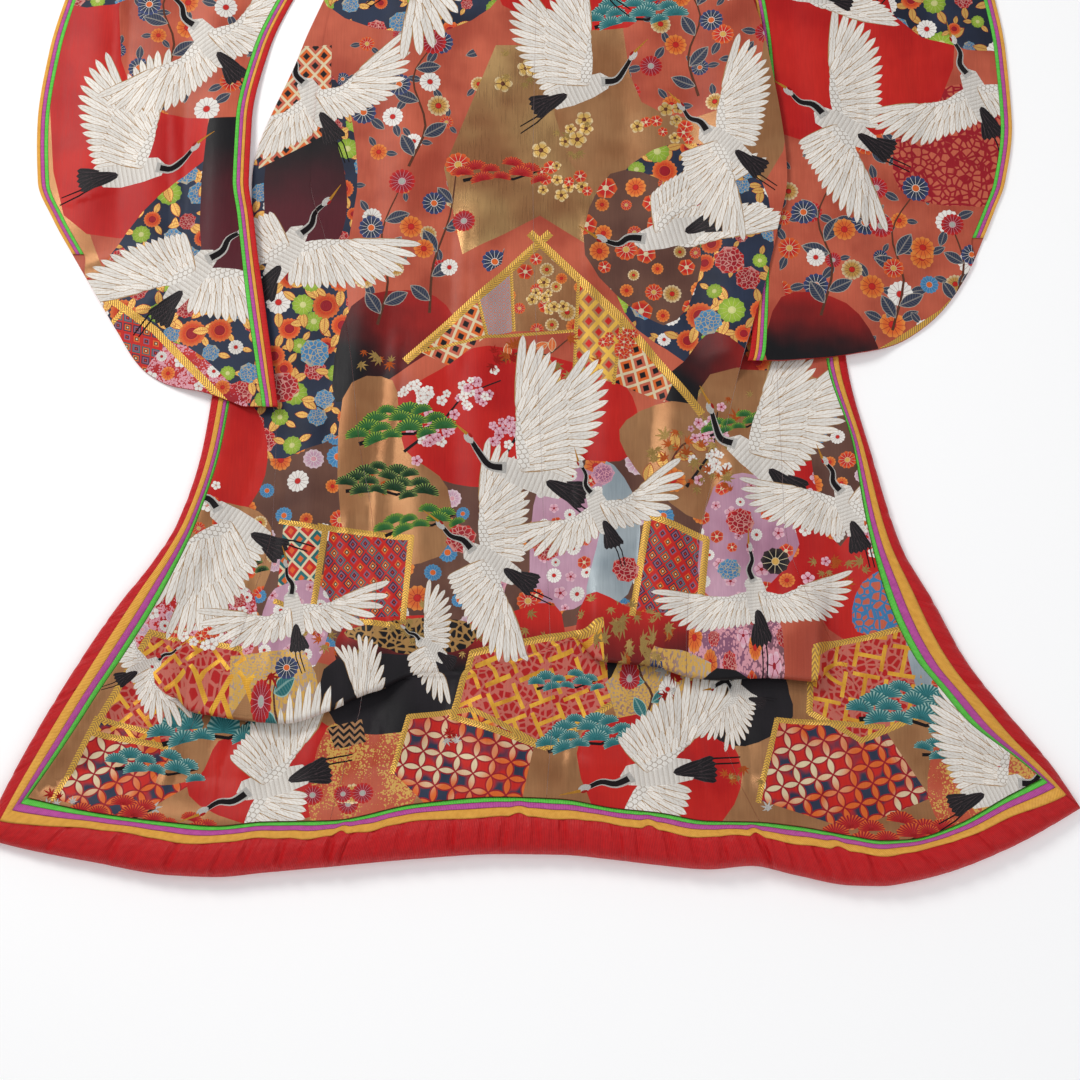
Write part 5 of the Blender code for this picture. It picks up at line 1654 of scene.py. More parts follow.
def smooth(points, steps=4):
    """A closed curve through given points."""
    p = np.array(points, dtype=float)
    before, after, later = np.roll(p, 1, axis=0), np.roll(p, -1, axis=0), np.roll(p, -2, axis=0)
    out = []
    for t in np.linspace(0, 1, steps, endpoint=False):
        out.append(0.5 * (2 * p + (after - before) * t + (2 * before - 5 * p + 4 * after - later) * t * t
                          + (3 * p - before - 3 * after + later) * t ** 3))
    return np.stack(out, axis=1).reshape(-1, 2)


def ribbon(points, widths):
    """The outline of a stroke along listed points, as wide as given at each of them."""
    p = np.array(points, dtype=float)
    along = np.gradient(p, axis=0)
    along /= np.linalg.norm(along, axis=1)[:, None]
    across = np.column_stack((-along[:, 1], along[:, 0])) * (np.array(widths) / 2)[:, None]
    return np.concatenate((p - across, (p + across)[::-1]))


FEATHER = petal(4.0, 0.5)
LEAF = petal(2.0, 1.0, 9)
TEARDROP = petal(2.4, 0.7)
FLOWER = {count: round_outline([1.0, 0.90] * count) for count in (6, 10, 12, 14, 16, 18)}
BLOSSOM = round_outline([0.72 + 0.28 * abs(math.cos(2.5 * angle))
                         for angle in np.linspace(0, 2 * math.pi, 20, False)])
PEONY = round_outline([1.0, 0.9, 0.97, 0.84, 1.02, 0.9, 0.95, 0.86,
                       1.0, 0.88, 0.98, 0.85, 1.03, 0.9, 0.94, 0.86])
MAPLE_TIPS = ((0, 1.0), (42, 0.92), (84, 0.76), (128, 0.46), (-128, 0.46), (-84, 0.76), (-42, 0.92))
MAPLE_LOBE = ((-9, 0.62), (0, 1.0), (9, 0.62))
MAPLE = np.array([heading(angle + turn, length * share) for angle, length in sorted(MAPLE_TIPS)
                  for turn, share in MAPLE_LOBE + ((21, 0.32 / length),)])
PINE_FAN = np.array([heading(a, 0.90 + 0.10 * (k % 2)) for k, a in enumerate(range(-15, 196, 14))]
                    + [heading(250, 0.16), heading(290, 0.16)])
FRET_BAR = np.array(((-0.40, -0.34), (-0.40, -0.46), (0.40, -0.46), (0.40, -0.34), (0.06, -0.34),
                     (0.06, 0.34), (0.40, 0.34), (0.40, 0.46), (-0.40, 0.46), (-0.40, 0.34),
                     (-0.06, 0.34), (-0.06, -0.34)))
# Petals of each flower's finish
FLOWER_PETALS = {"mum_red": 12, "mum_orange": 12, "mum_crimson": 16, "mum_white": 14, "mum_pink": 12,
                 "mum_blue": 14, "mum_navy": 14, "mum_lime": 12, "mum_gold": 14, "mum_black": 10,
                 "ring_orange": 18, "plum_red": 6}


class Design:
    """The figures of one design, the later over the earlier, each with its finish by name."""

    def __init__(self, ground):
        self.figures = []
        self.add(ground, np.zeros((3, 2)), Frame((0, 0)), 0.0)

    def add(self, finish, outline, frame, lift=None, bed=None, tone=0.5):
        self.figures.append({"outline": frame.place(outline), "finish": finish, "origin": frame.origin,
                             "axes": frame.axes, "tone": tone, "lift": RELIEF if lift is None else lift,
                             "bed": bed})
        return len(self.figures) - 1

    def region(self, finish, points, soft, angle, scale=1.0):
        """A ground with a pattern frame of its own. Its corners are given in millimetres."""
        corners = np.array(points, dtype=float) / 1000
        outline = smooth(corners) if soft else corners
        frame = Frame(corners[0], angle, scale)
        local = (outline - frame.origin) @ np.linalg.inv(frame.axes).T
        return self.add(finish, local, frame, 0.0)

    def bar(self, points, width, finish="braid", bed=None):
        """A straight-sided bar or stroke from point to point, in millimetres."""
        p = np.array(points, dtype=float) / 1000
        along = p[-1] - p[0]
        frame = Frame(p[0], math.degrees(math.atan2(along[1], along[0])))
        local = (p - frame.origin) @ np.linalg.inv(frame.axes).T
        widths = np.broadcast_to(np.array(width, dtype=float) / 1000, len(p))
        return self.add(finish, ribbon(local, widths), frame, bed=bed)

    def flower(self, kind, x, y, radius, bed=None, angle=0.0, tone=0.5):
        frame = Frame((x, y), angle, radius)
        if kind.startswith("peony"):
            self.add(kind, PEONY, frame, bed=bed, tone=tone)
        elif kind in ("plum_white", "plum_pink", "plum_gold"):
            self.add(kind, BLOSSOM, frame, bed=bed, tone=tone)
        elif kind.startswith("maple"):
            self.add(kind, MAPLE, frame, bed=bed, tone=tone)
        elif kind.startswith("leaf"):
            self.add(kind, LEAF, frame.within((0, 0), 0, 2.0, 0.5), bed=bed, tone=tone)
        else:
            self.add(kind, FLOWER[FLOWER_PETALS[kind]], frame, bed=bed, tone=tone)

    def scatter(self, bed, kinds, sizes, pitch, seed, leaf=None):
        """Flowers strewn unevenly over a region, which cuts them at its edge."""
        chance = random.Random(seed)
        outline = self.figures[bed]["outline"]
        low, high = outline.min(axis=0), outline.max(axis=0)
        row, turn = 0, 0
        y = low[1] + chance.uniform(0, pitch * 0.5)
        while y < high[1]:
            x = low[0] + (0.5 if row % 2 else 0.0) * pitch
            while x < high[0]:
                stray = (chance.uniform(-0.24, 0.24) * pitch, chance.uniform(-0.24, 0.24) * pitch)
                place = np.array((x, y)) + stray
                kind = kinds[turn % len(kinds)]
                radius = chance.uniform(*sizes) / 1000
                if leaf:
                    spray = chance.uniform(0, 360)
                    for side in (0, 130):
                        self.flower(leaf, *(place + heading(spray + side, radius * 0.7)), radius * 0.75, bed,
                                    spray + side)
                self.flower(kind, *place, radius, bed, chance.uniform(0, 360), chance.uniform(0.2, 0.8))
                x += pitch
                turn += 1 if chance.random() < 0.8 else 2
            y += pitch * 0.86
            row += 1

    def cluster(self, kinds, x, y, spread, count, radius, seed):
        """Blossoms or leaves gathered round a place, in millimetres, thicker towards its middle."""
        chance = random.Random(seed)
        for k in range(count):
            away = heading(chance.uniform(0, 360), spread * chance.uniform(0.05, 1.0) ** 0.7)
            self.flower(kinds[k % len(kinds)], (x + away[0]) / 1000, (y + away[1] * 0.7) / 1000,
                        radius * chance.uniform(0.75, 1.2) / 1000, None, chance.uniform(0, 360),
                        chance.uniform(0.2, 0.8))

    def fret(self, bed, angle, size):
        """Bars with end caps, turned by turns, that interlock over a region."""
        outline = self.figures[bed]["outline"]
        middle = outline.mean(axis=0)
        reach = int(np.linalg.norm(outline - middle, axis=1).max() / size) + 2
        frame = Frame(middle, angle, size)
        for i in range(-reach, reach + 1):
            for j in range(-reach, reach + 1):
                cell = Frame(frame.place((i, j)), angle + (90 if (i + j) % 2 else 0), size)
                if np.linalg.norm(cell.origin - middle) < reach * size:
                    self.add("fret_bar", FRET_BAR, cell, bed=bed)

    def pine(self, finish, x, y, width, angle=0.0, rows=3, branch="black_line"):
        """A bough: fans of needles in rows on a bent branch. Its width is in millimetres."""
        frame = Frame((x / 1000, y / 1000), angle, width / 1000)
        self.add(branch, ribbon(((-0.5, -0.10), (-0.15, -0.02), (0.15, -0.08), (0.5, 0.04)),
                                (0.05, 0.04, 0.035, 0.02)), frame)
        for row in range(rows - 1, -1, -1):
            count = rows + 3 - row
            for k in range(count):
                across = (k - (count - 1) / 2) / (rows + 2) + 0.03 * math.sin(3.1 * k + row)
                high = 0.13 * row - 0.05 + 0.05 * math.cos(2.3 * k + 1.7 * row)
                size = 0.15 + 0.025 * math.sin(k * 2.7 + row)
                fan = frame.within((across, high), 14 * math.sin(1.9 * k + row), size, size * 0.72)
                self.add(finish, PINE_FAN, fan)

    def spray(self, stem, flowers, leaves, leaf="leaf_navy", line="brown_line"):
        """A bent stem with paired leaves up it and flowers on it, in millimetres."""
        p = smooth_line(np.array(stem, dtype=float) / 1000)
        self.bar(p * 1000, np.linspace(4.5, 2.0, len(p)), line)
        for share, side, size in leaves:
            k = min(int(share * (len(p) - 1)), len(p) - 2)
            along = p[k + 1] - p[k]
            angle = math.degrees(math.atan2(along[1], along[0])) + side
            self.add(leaf, LEAF, Frame(p[k], angle, 1.0).within((0, 0), 0, size / 1000, size / 3800))
        for kind, x, y, radius in flowers:
            self.flower(kind, x / 1000, y / 1000, radius / 1000)

    def wing(self, frame, shoulder, arm, hand, trail, lengths, counts):
        """A wing: long feathers fan from the hand and the arm, with two shorter rows over them."""
        wrist = np.array(shoulder) + heading(*arm)
        tip = wrist + heading(*hand)
        for row, count in enumerate(counts):
            shorter = (1.0, 0.52, 0.30)[row]
            for k in range(count):
                t = k / (count - 1)
                share = t / 0.42 if t < 0.42 else (t - 0.42) / 0.58
                start = tip + (wrist - tip) * share if t < 0.42 else wrist + (shoulder - wrist) * share
                angle = hand[0] + (trail - hand[0]) * (t ** 0.8)
                full = lengths[0] + (lengths[1] - lengths[0]) * t + 0.12 * math.sin(math.pi * min(t * 1.6, 1))
                wide = (0.062, 0.050, 0.044)[row] * (17 / counts[0]) ** 0.5
                self.add("feather", FEATHER, frame.within(start, angle, full * shorter, wide),
                         tone=0.35 + 0.3 * (k % 2) + 0.1 * row)
        middle = [np.array(shoulder), wrist, tip]
        back = heading(trail, 0.13)
        bend = heading((hand[0] + trail) / 2, 0.12)
        outline = [middle[0], middle[0] + back, (middle[0] + middle[1]) / 2 + back * 1.1, middle[1] + bend,
                   (middle[1] + middle[2]) / 2 + bend * 0.6, middle[2], middle[1],
                   (middle[0] + middle[1]) / 2 - back * 0.12]
        self.add("down", outline, frame)

    def crane(self, x, y, size, angle, pose, mirror=False, plain=False):
        """A flying crane. Its size is the length of its body in millimetres."""
        frame = Frame((x / 1000, y / 1000), angle, size / 1000, mirror)
        far, near, neck, legs = CRANE_POSES[pose]
        counts = (11, 8, 6) if plain else (17, 12, 9)
        for side in legs:
            self.add("black_line", ribbon(side, (0.030, 0.022, 0.018)), frame)
        self.wing(frame, *far, counts)
        for k in range(5):
            self.add("black_plume", FEATHER, frame.within((-0.30, 0.02), 158 + 11 * k, 0.42, 0.055))
        self.add("down", FEATHER, frame.within((-0.48, 0.0), 0, 0.98, 0.175))
        points = smooth_line(np.array(neck))
        self.add("white_silk", ribbon(points, np.linspace(0.15, 0.055, len(points))), frame)
        self.add("black_line", ribbon(points[1:], np.linspace(0.085, 0.050, len(points) - 1)), frame)
        end, way = points[-1], points[-1] - points[-2]
        turn = math.degrees(math.atan2(way[1], way[0]))
        self.add("white_silk", TEARDROP, frame.within(end - heading(turn, 0.05), turn - 8, 0.17, 0.048))
        self.add("crown", TEARDROP, frame.within(end + heading(turn + 70, 0.035), turn - 10, 0.09, 0.018))
        self.add("beak", ribbon((end + heading(turn, 0.09), end + heading(turn - 12, 0.36)), (0.040, 0.008)),
                 frame)
        self.wing(frame, *near, counts)
        for k in range(3):
            self.add("black_plume", FEATHER, frame.within((-0.16, 0.02), 172 + 13 * k, 0.40, 0.045))


def smooth_line(points, steps=4):
    """An open curve through given points."""
    ends = np.vstack((2 * points[0] - points[1], points, 2 * points[-1] - points[-2]))
    out = []
    for k in range(1, len(ends) - 2):
        a, b, c, d = ends[k - 1:k + 3]
        for t in np.linspace(0, 1, steps, endpoint=False):
            out.append(0.5 * (2 * b + (c - a) * t + (2 * a - 5 * b + 4 * c - d) * t * t
                              + (3 * b - a - 3 * c + d) * t ** 3))
    return np.array(out + [points[-1]])


# Each pose: far wing and near wing (shoulder, arm, hand, trailing angle, feather lengths), neck, legs
CRANE_POSES = {
    "climb": (((0.22, 0.06), (52, 0.42), (66, 0.34), 158, (0.98, 0.62)),
              ((0.12, -0.02), (200, 0.30), (222, 0.40), 305, (0.95, 0.60)),
              ((0.34, 0.02), (0.56, 0.10), (0.74, 0.06), (0.92, 0.12)),
              (((-0.30, -0.04), (-0.70, -0.12), (-1.02, -0.10)),
               ((-0.30, 0.0), (-0.70, -0.05), (-1.0, -0.03)))),
    "glide": (((0.20, 0.08), (104, 0.40), (80, 0.42), 176, (0.90, 0.60)),
              ((0.18, -0.08), (252, 0.36), (284, 0.40), 186, (0.92, 0.58)),
              ((0.36, 0.0), (0.58, 0.06), (0.76, -0.02), (0.96, 0.0)),
              (((-0.34, -0.03), (-0.80, -0.06), (-1.10, 0.0)),
               ((-0.34, 0.03), (-0.80, 0.02), (-1.08, 0.06)))),
    "rise": (((0.16, 0.08), (84, 0.42), (100, 0.40), 190, (0.95, 0.60)),
             ((0.20, 0.04), (60, 0.40), (72, 0.40), 150, (0.98, 0.66)),
             ((0.36, 0.0), (0.56, -0.06), (0.74, 0.04), (0.90, 0.16)),
             (((-0.32, -0.04), (-0.72, -0.20), (-1.00, -0.26)),
              ((-0.32, 0.0), (-0.70, -0.12), (-0.96, -0.16)))),
    "stoop": (((0.16, 0.06), (150, 0.34), (176, 0.44), 228, (0.92, 0.56)),
              ((0.18, -0.04), (214, 0.30), (196, 0.46), 258, (0.96, 0.58)),
              ((0.34, -0.02), (0.54, -0.10), (0.70, -0.06), (0.86, -0.16)),
              (((-0.30, -0.02), (-0.70, 0.06), (-1.02, 0.04)), ((-0.30, 0.03), (-0.70, 0.12), (-1.0, 0.12)))),
}

MUMS = ("mum_red", "mum_orange", "mum_pink", "mum_blue", "mum_white", "mum_orange")
SATIN_MUMS = ("mum_crimson", "mum_navy", "mum_orange", "mum_white", "mum_gold", "mum_red")
WARM_MUMS = ("mum_orange", "mum_red", "plum_red", "mum_gold")
NAVY_BLOOMS = ("mum_lime", "ring_orange", "peony_red", "mum_lime", "peony_blue", "mum_white", "ring_orange")
SMALL = ("plum_pink", "mum_white", "plum_white", "mum_orange")
MAPLES = ("maple_gold", "maple_orange")

STREWN_LEAVES = {NAVY_BLOOMS: "leaf_gold", SATIN_MUMS: "leaf_navy"}

# Grounds of the body: finish, curved or straight, angle and scale of its pattern, corners, strewn flowers
# (kinds, least and greatest radius in mm, distance between them in m)
BODY_GROUNDS = (
    ("gold", True, 0, 1, ((-820, -60), (820, -60), (820, 330), (420, 300), (200, 330), (0, 290),
     (-220, 300), (-420, 340), (-820, 330)), None),
    ("taupe", True, 0, 1, ((-420, 380), (-60, 380), (-60, 620), (-250, 640), (-330, 720), (-440, 700)),
     (MUMS, (9, 20), 0.047)),
    ("taupe", True, 0, 1, ((-190, 390), (90, 400), (260, 520), (250, 700), (60, 690), (-140, 640)), (MUMS,
     (9, 21), 0.05)),
    ("coral", True, 0, 1, ((-300, 800), (-205, 850), (-160, 940), (-60, 960), (-70, 1130), (-110, 1330),
     (-310, 1340)), (SATIN_MUMS, (11, 21), 0.072)),
    ("navy", True, 0, 1, ((-480, 690), (-290, 690), (-285, 800), (-300, 960), (-285, 1120), (-330, 1280),
     (-480, 1280)), (NAVY_BLOOMS, (10, 22), 0.044)),
    ("wine_to_black", True, 0, 0.2, ((-420, 1000), (-330, 980), (-300, 1060), (-330, 1180), (-420, 1180)),
     None),
    ("black_to_red", True, -40, 0.36, ((-310, 735), (-190, 800), (-130, 860), (-180, 915), (-290, 890)),
     None),
    ("lame", False, 0, 1, ((-120, 975), (0, 1040), (100, 975), (160, 1120), (60, 1330), (-70, 1330),
     (-150, 1120)), None),
    ("gold", True, 0, 1, ((80, 1080), (350, 1090), (360, 1330), (40, 1340)), None),
    ("coral", True, 0, 1, ((160, 1230), (330, 1240), (340, 1480), (150, 1480)), (SATIN_MUMS, (12, 21),
     0.072)),
    ("navy", True, 0, 1, ((130, 880), (220, 800), (330, 690), (360, 900), (340, 1100), (210, 1160),
     (95, 1060)), (NAVY_BLOOMS, (10, 22), 0.044)),
    ("taupe", True, 0, 1, ((70, 975), (190, 860), (250, 960), (210, 1080), (110, 1110)), (WARM_MUMS,
     (9, 19), 0.04)),
    ("scarlet", True, 0, 1, ((-225, 650), (-235, 720), (-150, 790), (-80, 825), (50, 800), (130, 760),
     (150, 690), (120, 640), (30, 645), (-60, 600), (-150, 612)), None),
    ("black_to_red", True, -60, 0.3, ((180, 745), (330, 690), (345, 770), (270, 845), (220, 800)), None),
    ("gold", True, 0, 1, ((-285, 500), (-150, 492), (-140, 600), (-205, 660), (-225, 770), (-300, 740)),
     None),
    ("gold", True, 0, 1, ((120, 690), (200, 735), (310, 690), (315, 600), (240, 550), (160, 610)), None),
    ("check", False, 20, 1, ((-187, 817), (-95, 905), (-82, 840), (-140, 795)), None),
    ("waves", False, 0, 1, ((-95, 905), (-45, 953), (-40, 850), (-82, 840)), None),
    ("gold", False, 0, 1, ((-45, 953), (0, 993), (60, 938), (52, 852), (-40, 850)), (WARM_MUMS, (8, 15),
     0.033)),
    ("fishnet", False, 0, 1, ((60, 938), (125, 868), (110, 765), (52, 782), (52, 852)), None),
    ("check", False, -28, 1, ((125, 868), (205, 770), (190, 735), (113, 765)), None),
    ("lilac", True, 0, 1, ((-10, 430), (70, 420), (112, 520), (84, 622), (0, 610)),
     (("mum_white", "plum_red", "plum_pink"), (6, 12), 0.03)),
    ("pale_blue", True, 0, 1, ((70, 420), (130, 430), (150, 560), (100, 640), (92, 540)), None),
    ("teal_net", False, 4, 1, ((-392, 425), (-333, 402), (-318, 530), (-385, 545)), None),
    ("lattice", False, 4, 1, ((-330, 400), (-207, 385), (-196, 518), (-316, 532)), None),
    ("lattice", False, -10, 1, ((142, 400), (232, 388), (248, 516), (168, 552)), None),
    ("black_to_red", True, 0, 0.13, ((-275, 300), (-60, 275), (30, 330), (20, 420), (-90, 392), (-180, 400),
     (-290, 380)), (MAPLES, (8, 15), 0.036)),
    ("black_to_red", True, 0, 0.13, ((62, 310), (240, 305), (262, 392), (150, 402), (70, 430)), (MAPLES,
     (8, 15), 0.036)),
    ("scarlet", True, 0, 1, ((-570, 560), (-470, 545), (-415, 620), (-430, 720), (-520, 780), (-580, 700)),
     None),
    ("gold", True, 0, 1, ((-580, 430), (-430, 425), (-400, 520), (-440, 570), (-560, 560)), (WARM_MUMS,
     (9, 17), 0.046)),
    ("lilac", True, 0, 1, ((-410, 330), (-330, 320), (-312, 420), (-350, 455), (-405, 430)),
     (("mum_white", "plum_pink"), (6, 11), 0.028)),
    ("red_flaked", True, 0, 1, ((-600, 350), (-440, 330), (-420, 400), (-450, 450), (-590, 440)),
     (("plum_white", "mum_pink", "mum_white"), (7, 12), 0.026)),
    ("gold", True, 0, 1, ((245, 640), (330, 590), (430, 640), (450, 760), (260, 780)), (MAPLES, (9, 18),
     0.046)),
    ("lilac", True, 0, 1, ((240, 440), (330, 425), (388, 510), (350, 610), (262, 600)),
     (("mum_white", "plum_red", "plum_pink"), (6, 12), 0.03)),
    ("scarlet", True, 0, 1, ((330, 425), (420, 400), (470, 520), (440, 640), (350, 610), (388, 510)),
     (SMALL, (7, 13), 0.036)),
    ("taupe", True, 0, 1, ((440, 520), (560, 450), (520, 640), (470, 780), (410, 700)), (MUMS, (9, 18),
     0.042)),
    ("scarlet", True, 0, 1, ((410, 400), (520, 350), (600, 420), (560, 540), (460, 520)), None),
    ("check", False, 0, 1, ((-440, 1120), (-330, 1180), (-330, 1330), (-440, 1330)), None),
    ("mauve_flaked", True, 0, 1, ((232, 300), (345, 296), (352, 395), (290, 425), (226, 400)),
     (("plum_red", "plum_pink", "mum_orange", "peony_red"), (7, 13), 0.03)),
    ("navy", True, 0, 1, ((-340, 1400), (-180, 1350), (-60, 1420), (-80, 1560), (-220, 1620), (-340, 1560)),
     (NAVY_BLOOMS, (10, 22), 0.044)),
    ("scarlet", True, 0, 1, ((-60, 1400), (140, 1360), (210, 1480), (120, 1580), (-40, 1560)), None),
    ("lame", False, 0, 1, ((-320, 1640), (-60, 1600), (60, 1640), (40, 1820), (-320, 1820)), None),
    ("taupe", True, 0, 1, ((80, 1600), (240, 1500), (400, 1560), (400, 1820), (80, 1820)), (MUMS, (9, 20),
     0.048)),
    ("lattice", False, 30, 1, ((-90, 1560), (10, 1620), (70, 1540), (-30, 1480)), None),
    ("fret_bed", False, 0, 1, ((-655, 225), (-575, 372), (-440, 345), (-410, 290), (-540, 205)), None),
    ("treasures", False, 24, 1, ((-705, 125), (-648, 245), (-560, 222), (-505, 150), (-590, 92)), None),
    ("pale_flaked", False, 0, 1, ((-455, 335), (-350, 350), (-305, 262), (-365, 190), (-455, 245)), None),
    ("scarlet", True, 0, 1, ((-480, 210), (-310, 235), (-275, 130), (-400, 85), (-510, 130)), None),
    ("coral_flaked", True, 0, 1, ((-312, 232), (-205, 250), (-178, 130), (-240, 60), (-330, 85)), None),
    ("black", True, 0, 1, ((-300, 330), (-150, 338), (-108, 256), (-240, 222), (-322, 258)), None),
    ("fret_bed", False, 0, 1, ((-128, 248), (-100, 345), (92, 388), (104, 268), (10, 205)), None),
    ("treasures", False, -8, 1, ((-215, 165), (-192, 246), (-100, 258), (-8, 212), (-28, 112), (-150, 100)),
     None),
    ("pale_flaked", False, 0, 1, ((96, 300), (168, 368), (252, 345), (232, 240), (120, 222)), None),
    ("scarlet", True, 0, 1, ((62, 225), (232, 252), (296, 168), (240, 75), (96, 85)), None),
    ("black", True, 0, 1, ((240, 335), (338, 325), (372, 250), (300, 205), (236, 240)), None),
    ("chevrons", False, 0, 1, ((-312, 232), (-262, 246), (-255, 212), (-300, 200)), None),
    ("treasures", False, 14, 1, ((318, 122), (348, 242), (505, 232), (570, 128), (450, 78)), None),
    ("fret_bed", False, 0, 1, ((405, 350), (545, 378), (572, 258), (470, 215), (396, 256)), None),
    ("pale_blue", True, 0, 1, ((545, 372), (632, 330), (668, 235), (600, 222), (556, 285)), None),
    ("coral_flaked", True, 0, 1, ((565, 130), (602, 240), (720, 175), (770, 80), (620, 40)), None),
    ("blue_pebbles", True, 0, 1, ((470, 378), (560, 380), (600, 420), (560, 480), (480, 450)), None),
    ("pebbles", True, 0, 1, ((-290, 372), (-180, 396), (-100, 388), (-110, 352), (-210, 345)), None),
    ("gold", True, 0, 1, ((-560, 150), (-500, 160), (-470, 215), (-400, 280), (-430, 292), (-520, 215)),
     None),
)
# Bars of braided gold along the edges of the straight panels, in mm: width and points
BODY_BARS = (
    (13, ((16, 1012), (-95, 905), (-206, 800))), (13, ((-16, 1012), (120, 876), (246, 716))),
    (5, ((-96, 906), (-81, 838))), (5, ((-45, 955), (-40, 850))), (5, ((60, 940), (52, 780))),
    (5, ((126, 870), (112, 762))), (5, ((-187, 816), (-82, 840), (52, 851))),
    (9, ((-338, 398), (-322, 536))), (9, ((-334, 538), (-190, 520))), (9, ((-204, 382), (-192, 524))),
    (9, ((-338, 398), (-200, 381))), (8, ((-396, 424), (-334, 400))), (8, ((-392, 548), (-318, 532))),
    (10, ((-94, 1564), (12, 1626), (76, 1540), (-28, 1474), (-94, 1564))), (12, ((80, 1600), (380, 1430))),
    (10, ((136, 396), (164, 560))), (10, ((160, 558), (252, 518))), (10, ((234, 384), (250, 520))),
    (9, ((-658, 222), (-574, 376))), (9, ((-578, 374), (-438, 346))), (9, ((-656, 224), (-540, 203))),
    (9, ((-130, 244), (-100, 348))), (9, ((-102, 346), (94, 390))), (9, ((-130, 250), (10, 203))),
    (9, ((10, 203), (106, 268))), (9, ((402, 352), (548, 381))), (9, ((396, 254), (404, 354))),
    (9, ((396, 256), (470, 213), (574, 257))), (8, ((-706, 122), (-648, 247))),
    (8, ((-650, 246), (-560, 222))), (8, ((-194, 248), (-100, 260), (-6, 212))),
    (8, ((-216, 162), (-192, 250))), (8, ((346, 244), (507, 234))), (8, ((316, 118), (348, 246))),
)
# The key fret's angle on each of its beds, in their order, and the size of a bar in metres
FRETS = ((38, 0.050), (22, 0.050), (-12, 0.050))
# Pine boughs: finish, middle, width, angle, rows
BODY_PINES = (
    ("pine_green", -212, 690, 130, 8, 3), ("pine_dark", -232, 600, 120, -6, 3),
    ("pine_green", -180, 545, 110, 10, 2), ("pine_teal", -480, 228, 150, 4, 3),
    ("pine_teal", -560, 175, 120, -8, 2), ("pine_teal", 70, 215, 120, 6, 3),
    ("pine_teal", 40, 300, 90, 0, 2), ("pine_teal", 545, 250, 150, -8, 3),
    ("pine_teal", 610, 190, 100, -14, 2), ("pine_red", -620, 98, 130, 6, 2),
    ("pine_red", -520, 80, 110, -4, 2), ("pine_red", -120, 88, 140, 4, 2), ("pine_red", 10, 92, 120, -6, 2),
    ("pine_red", 500, 72, 150, 0, 2), ("pine_red", 620, 66, 120, -8, 2),
    ("pine_green", -130, 1650, 140, 0, 3), ("pine_teal", 150, 1380, 130, 6, 3),
    ("pine_dark", -460, 480, 90, 0, 2), ("pine_green", 300, 700, 90, 12, 2),
    ("pine_red", -60, 1110, 120, 0, 2),
)
# Leaves of a spray: share of the stem, side, length
PAIRED_LEAVES = ((0.1, 52, 42), (0.3, -48, 44), (0.55, 50, 42), (0.75, -52, 40))
SHORT_LEAVES = ((0.1, 50, 36), (0.3, -50, 38), (0.5, 50, 36), (0.7, -50, 34))
FULL_LEAVES = ((0.1, 48, 42), (0.2, -50, 42), (0.42, 52, 46), (0.5, -48, 44), (0.7, 50, 40))
# Sprays: stem, flowers (kind, x, y, radius), leaves (share of the stem, side, length), leaf
SPRAYS = (
    (((-250, 860), (-235, 930), (-245, 1010), (-215, 1090)), (("mum_crimson", -215, 1095, 21),
     ("mum_navy", -262, 1020, 20), ("mum_orange", -200, 1020, 18), ("mum_white", -238, 955, 15),
     ("mum_gold", -270, 935, 17)), ((0.1, 48, 42), (0.2, -50, 42), (0.42, 52, 46), (0.5, -48, 44),
     (0.7, 50, 40), (0.8, -52, 40)), "leaf_navy"),
    (((-170, 880), (-165, 960), (-140, 1040), (-130, 1120)), (("mum_red", -128, 1125, 21),
     ("mum_navy", -165, 1060, 19), ("mum_crimson", -118, 1030, 18), ("mum_orange", -180, 985, 16),
     ("mum_white", -140, 955, 14)), ((0.1, 52, 40), (0.25, -48, 42), (0.45, 50, 42), (0.62, -52, 40),
     (0.8, 48, 36)), "leaf_navy"),
    (((-205, 1120), (-180, 1190), (-200, 1270), (-170, 1330)), (("mum_crimson", -170, 1335, 22),
     ("mum_navy", -222, 1260, 19), ("mum_gold", -160, 1225, 18)), PAIRED_LEAVES, "leaf_navy"),
    (((250, 1240), (235, 1310), (255, 1380), (225, 1450)), (("mum_crimson", 225, 1455, 22),
     ("mum_navy", 272, 1370, 19), ("mum_orange", 215, 1330, 18)), PAIRED_LEAVES, "leaf_navy"),
    (((-385, 190), (-370, 240), (-390, 290), (-362, 330)), (("mum_navy", -372, 318, 18),
     ("mum_crimson", -408, 285, 16), ("mum_white", -350, 262, 14)), SHORT_LEAVES, "leaf_teal"),
    (((150, 235), (165, 280), (145, 320), (170, 355)), (("mum_navy", 168, 342, 18),
     ("mum_crimson", 132, 305, 16), ("mum_white", 188, 290, 14)), SHORT_LEAVES, "leaf_teal"),
    (((590, 225), (606, 262), (596, 300), (618, 330)), (("mum_navy", 616, 318, 17),
     ("mum_red", 588, 292, 15)), ((0.1, 50, 34), (0.3, -50, 36), (0.55, 50, 34)), "leaf_teal"),
    (((150, 600), (190, 625), (215, 665), (270, 690)), (("mum_gold", 268, 692, 15),), ((0.1, 50, 34),
     (0.2, -50, 30), (0.35, 52, 34), (0.5, -50, 34), (0.65, 50, 32), (0.8, -50, 30)), "leaf_gold"),
    (((-60, 800), (-20, 820), (10, 812), (44, 838)), (("maple_orange", 46, 838, 16),), ((0.1, 60, 26),
     (0.25, -50, 26), (0.45, 52, 28), (0.6, -54, 26), (0.8, 50, 24)), "leaf_orange"),
)
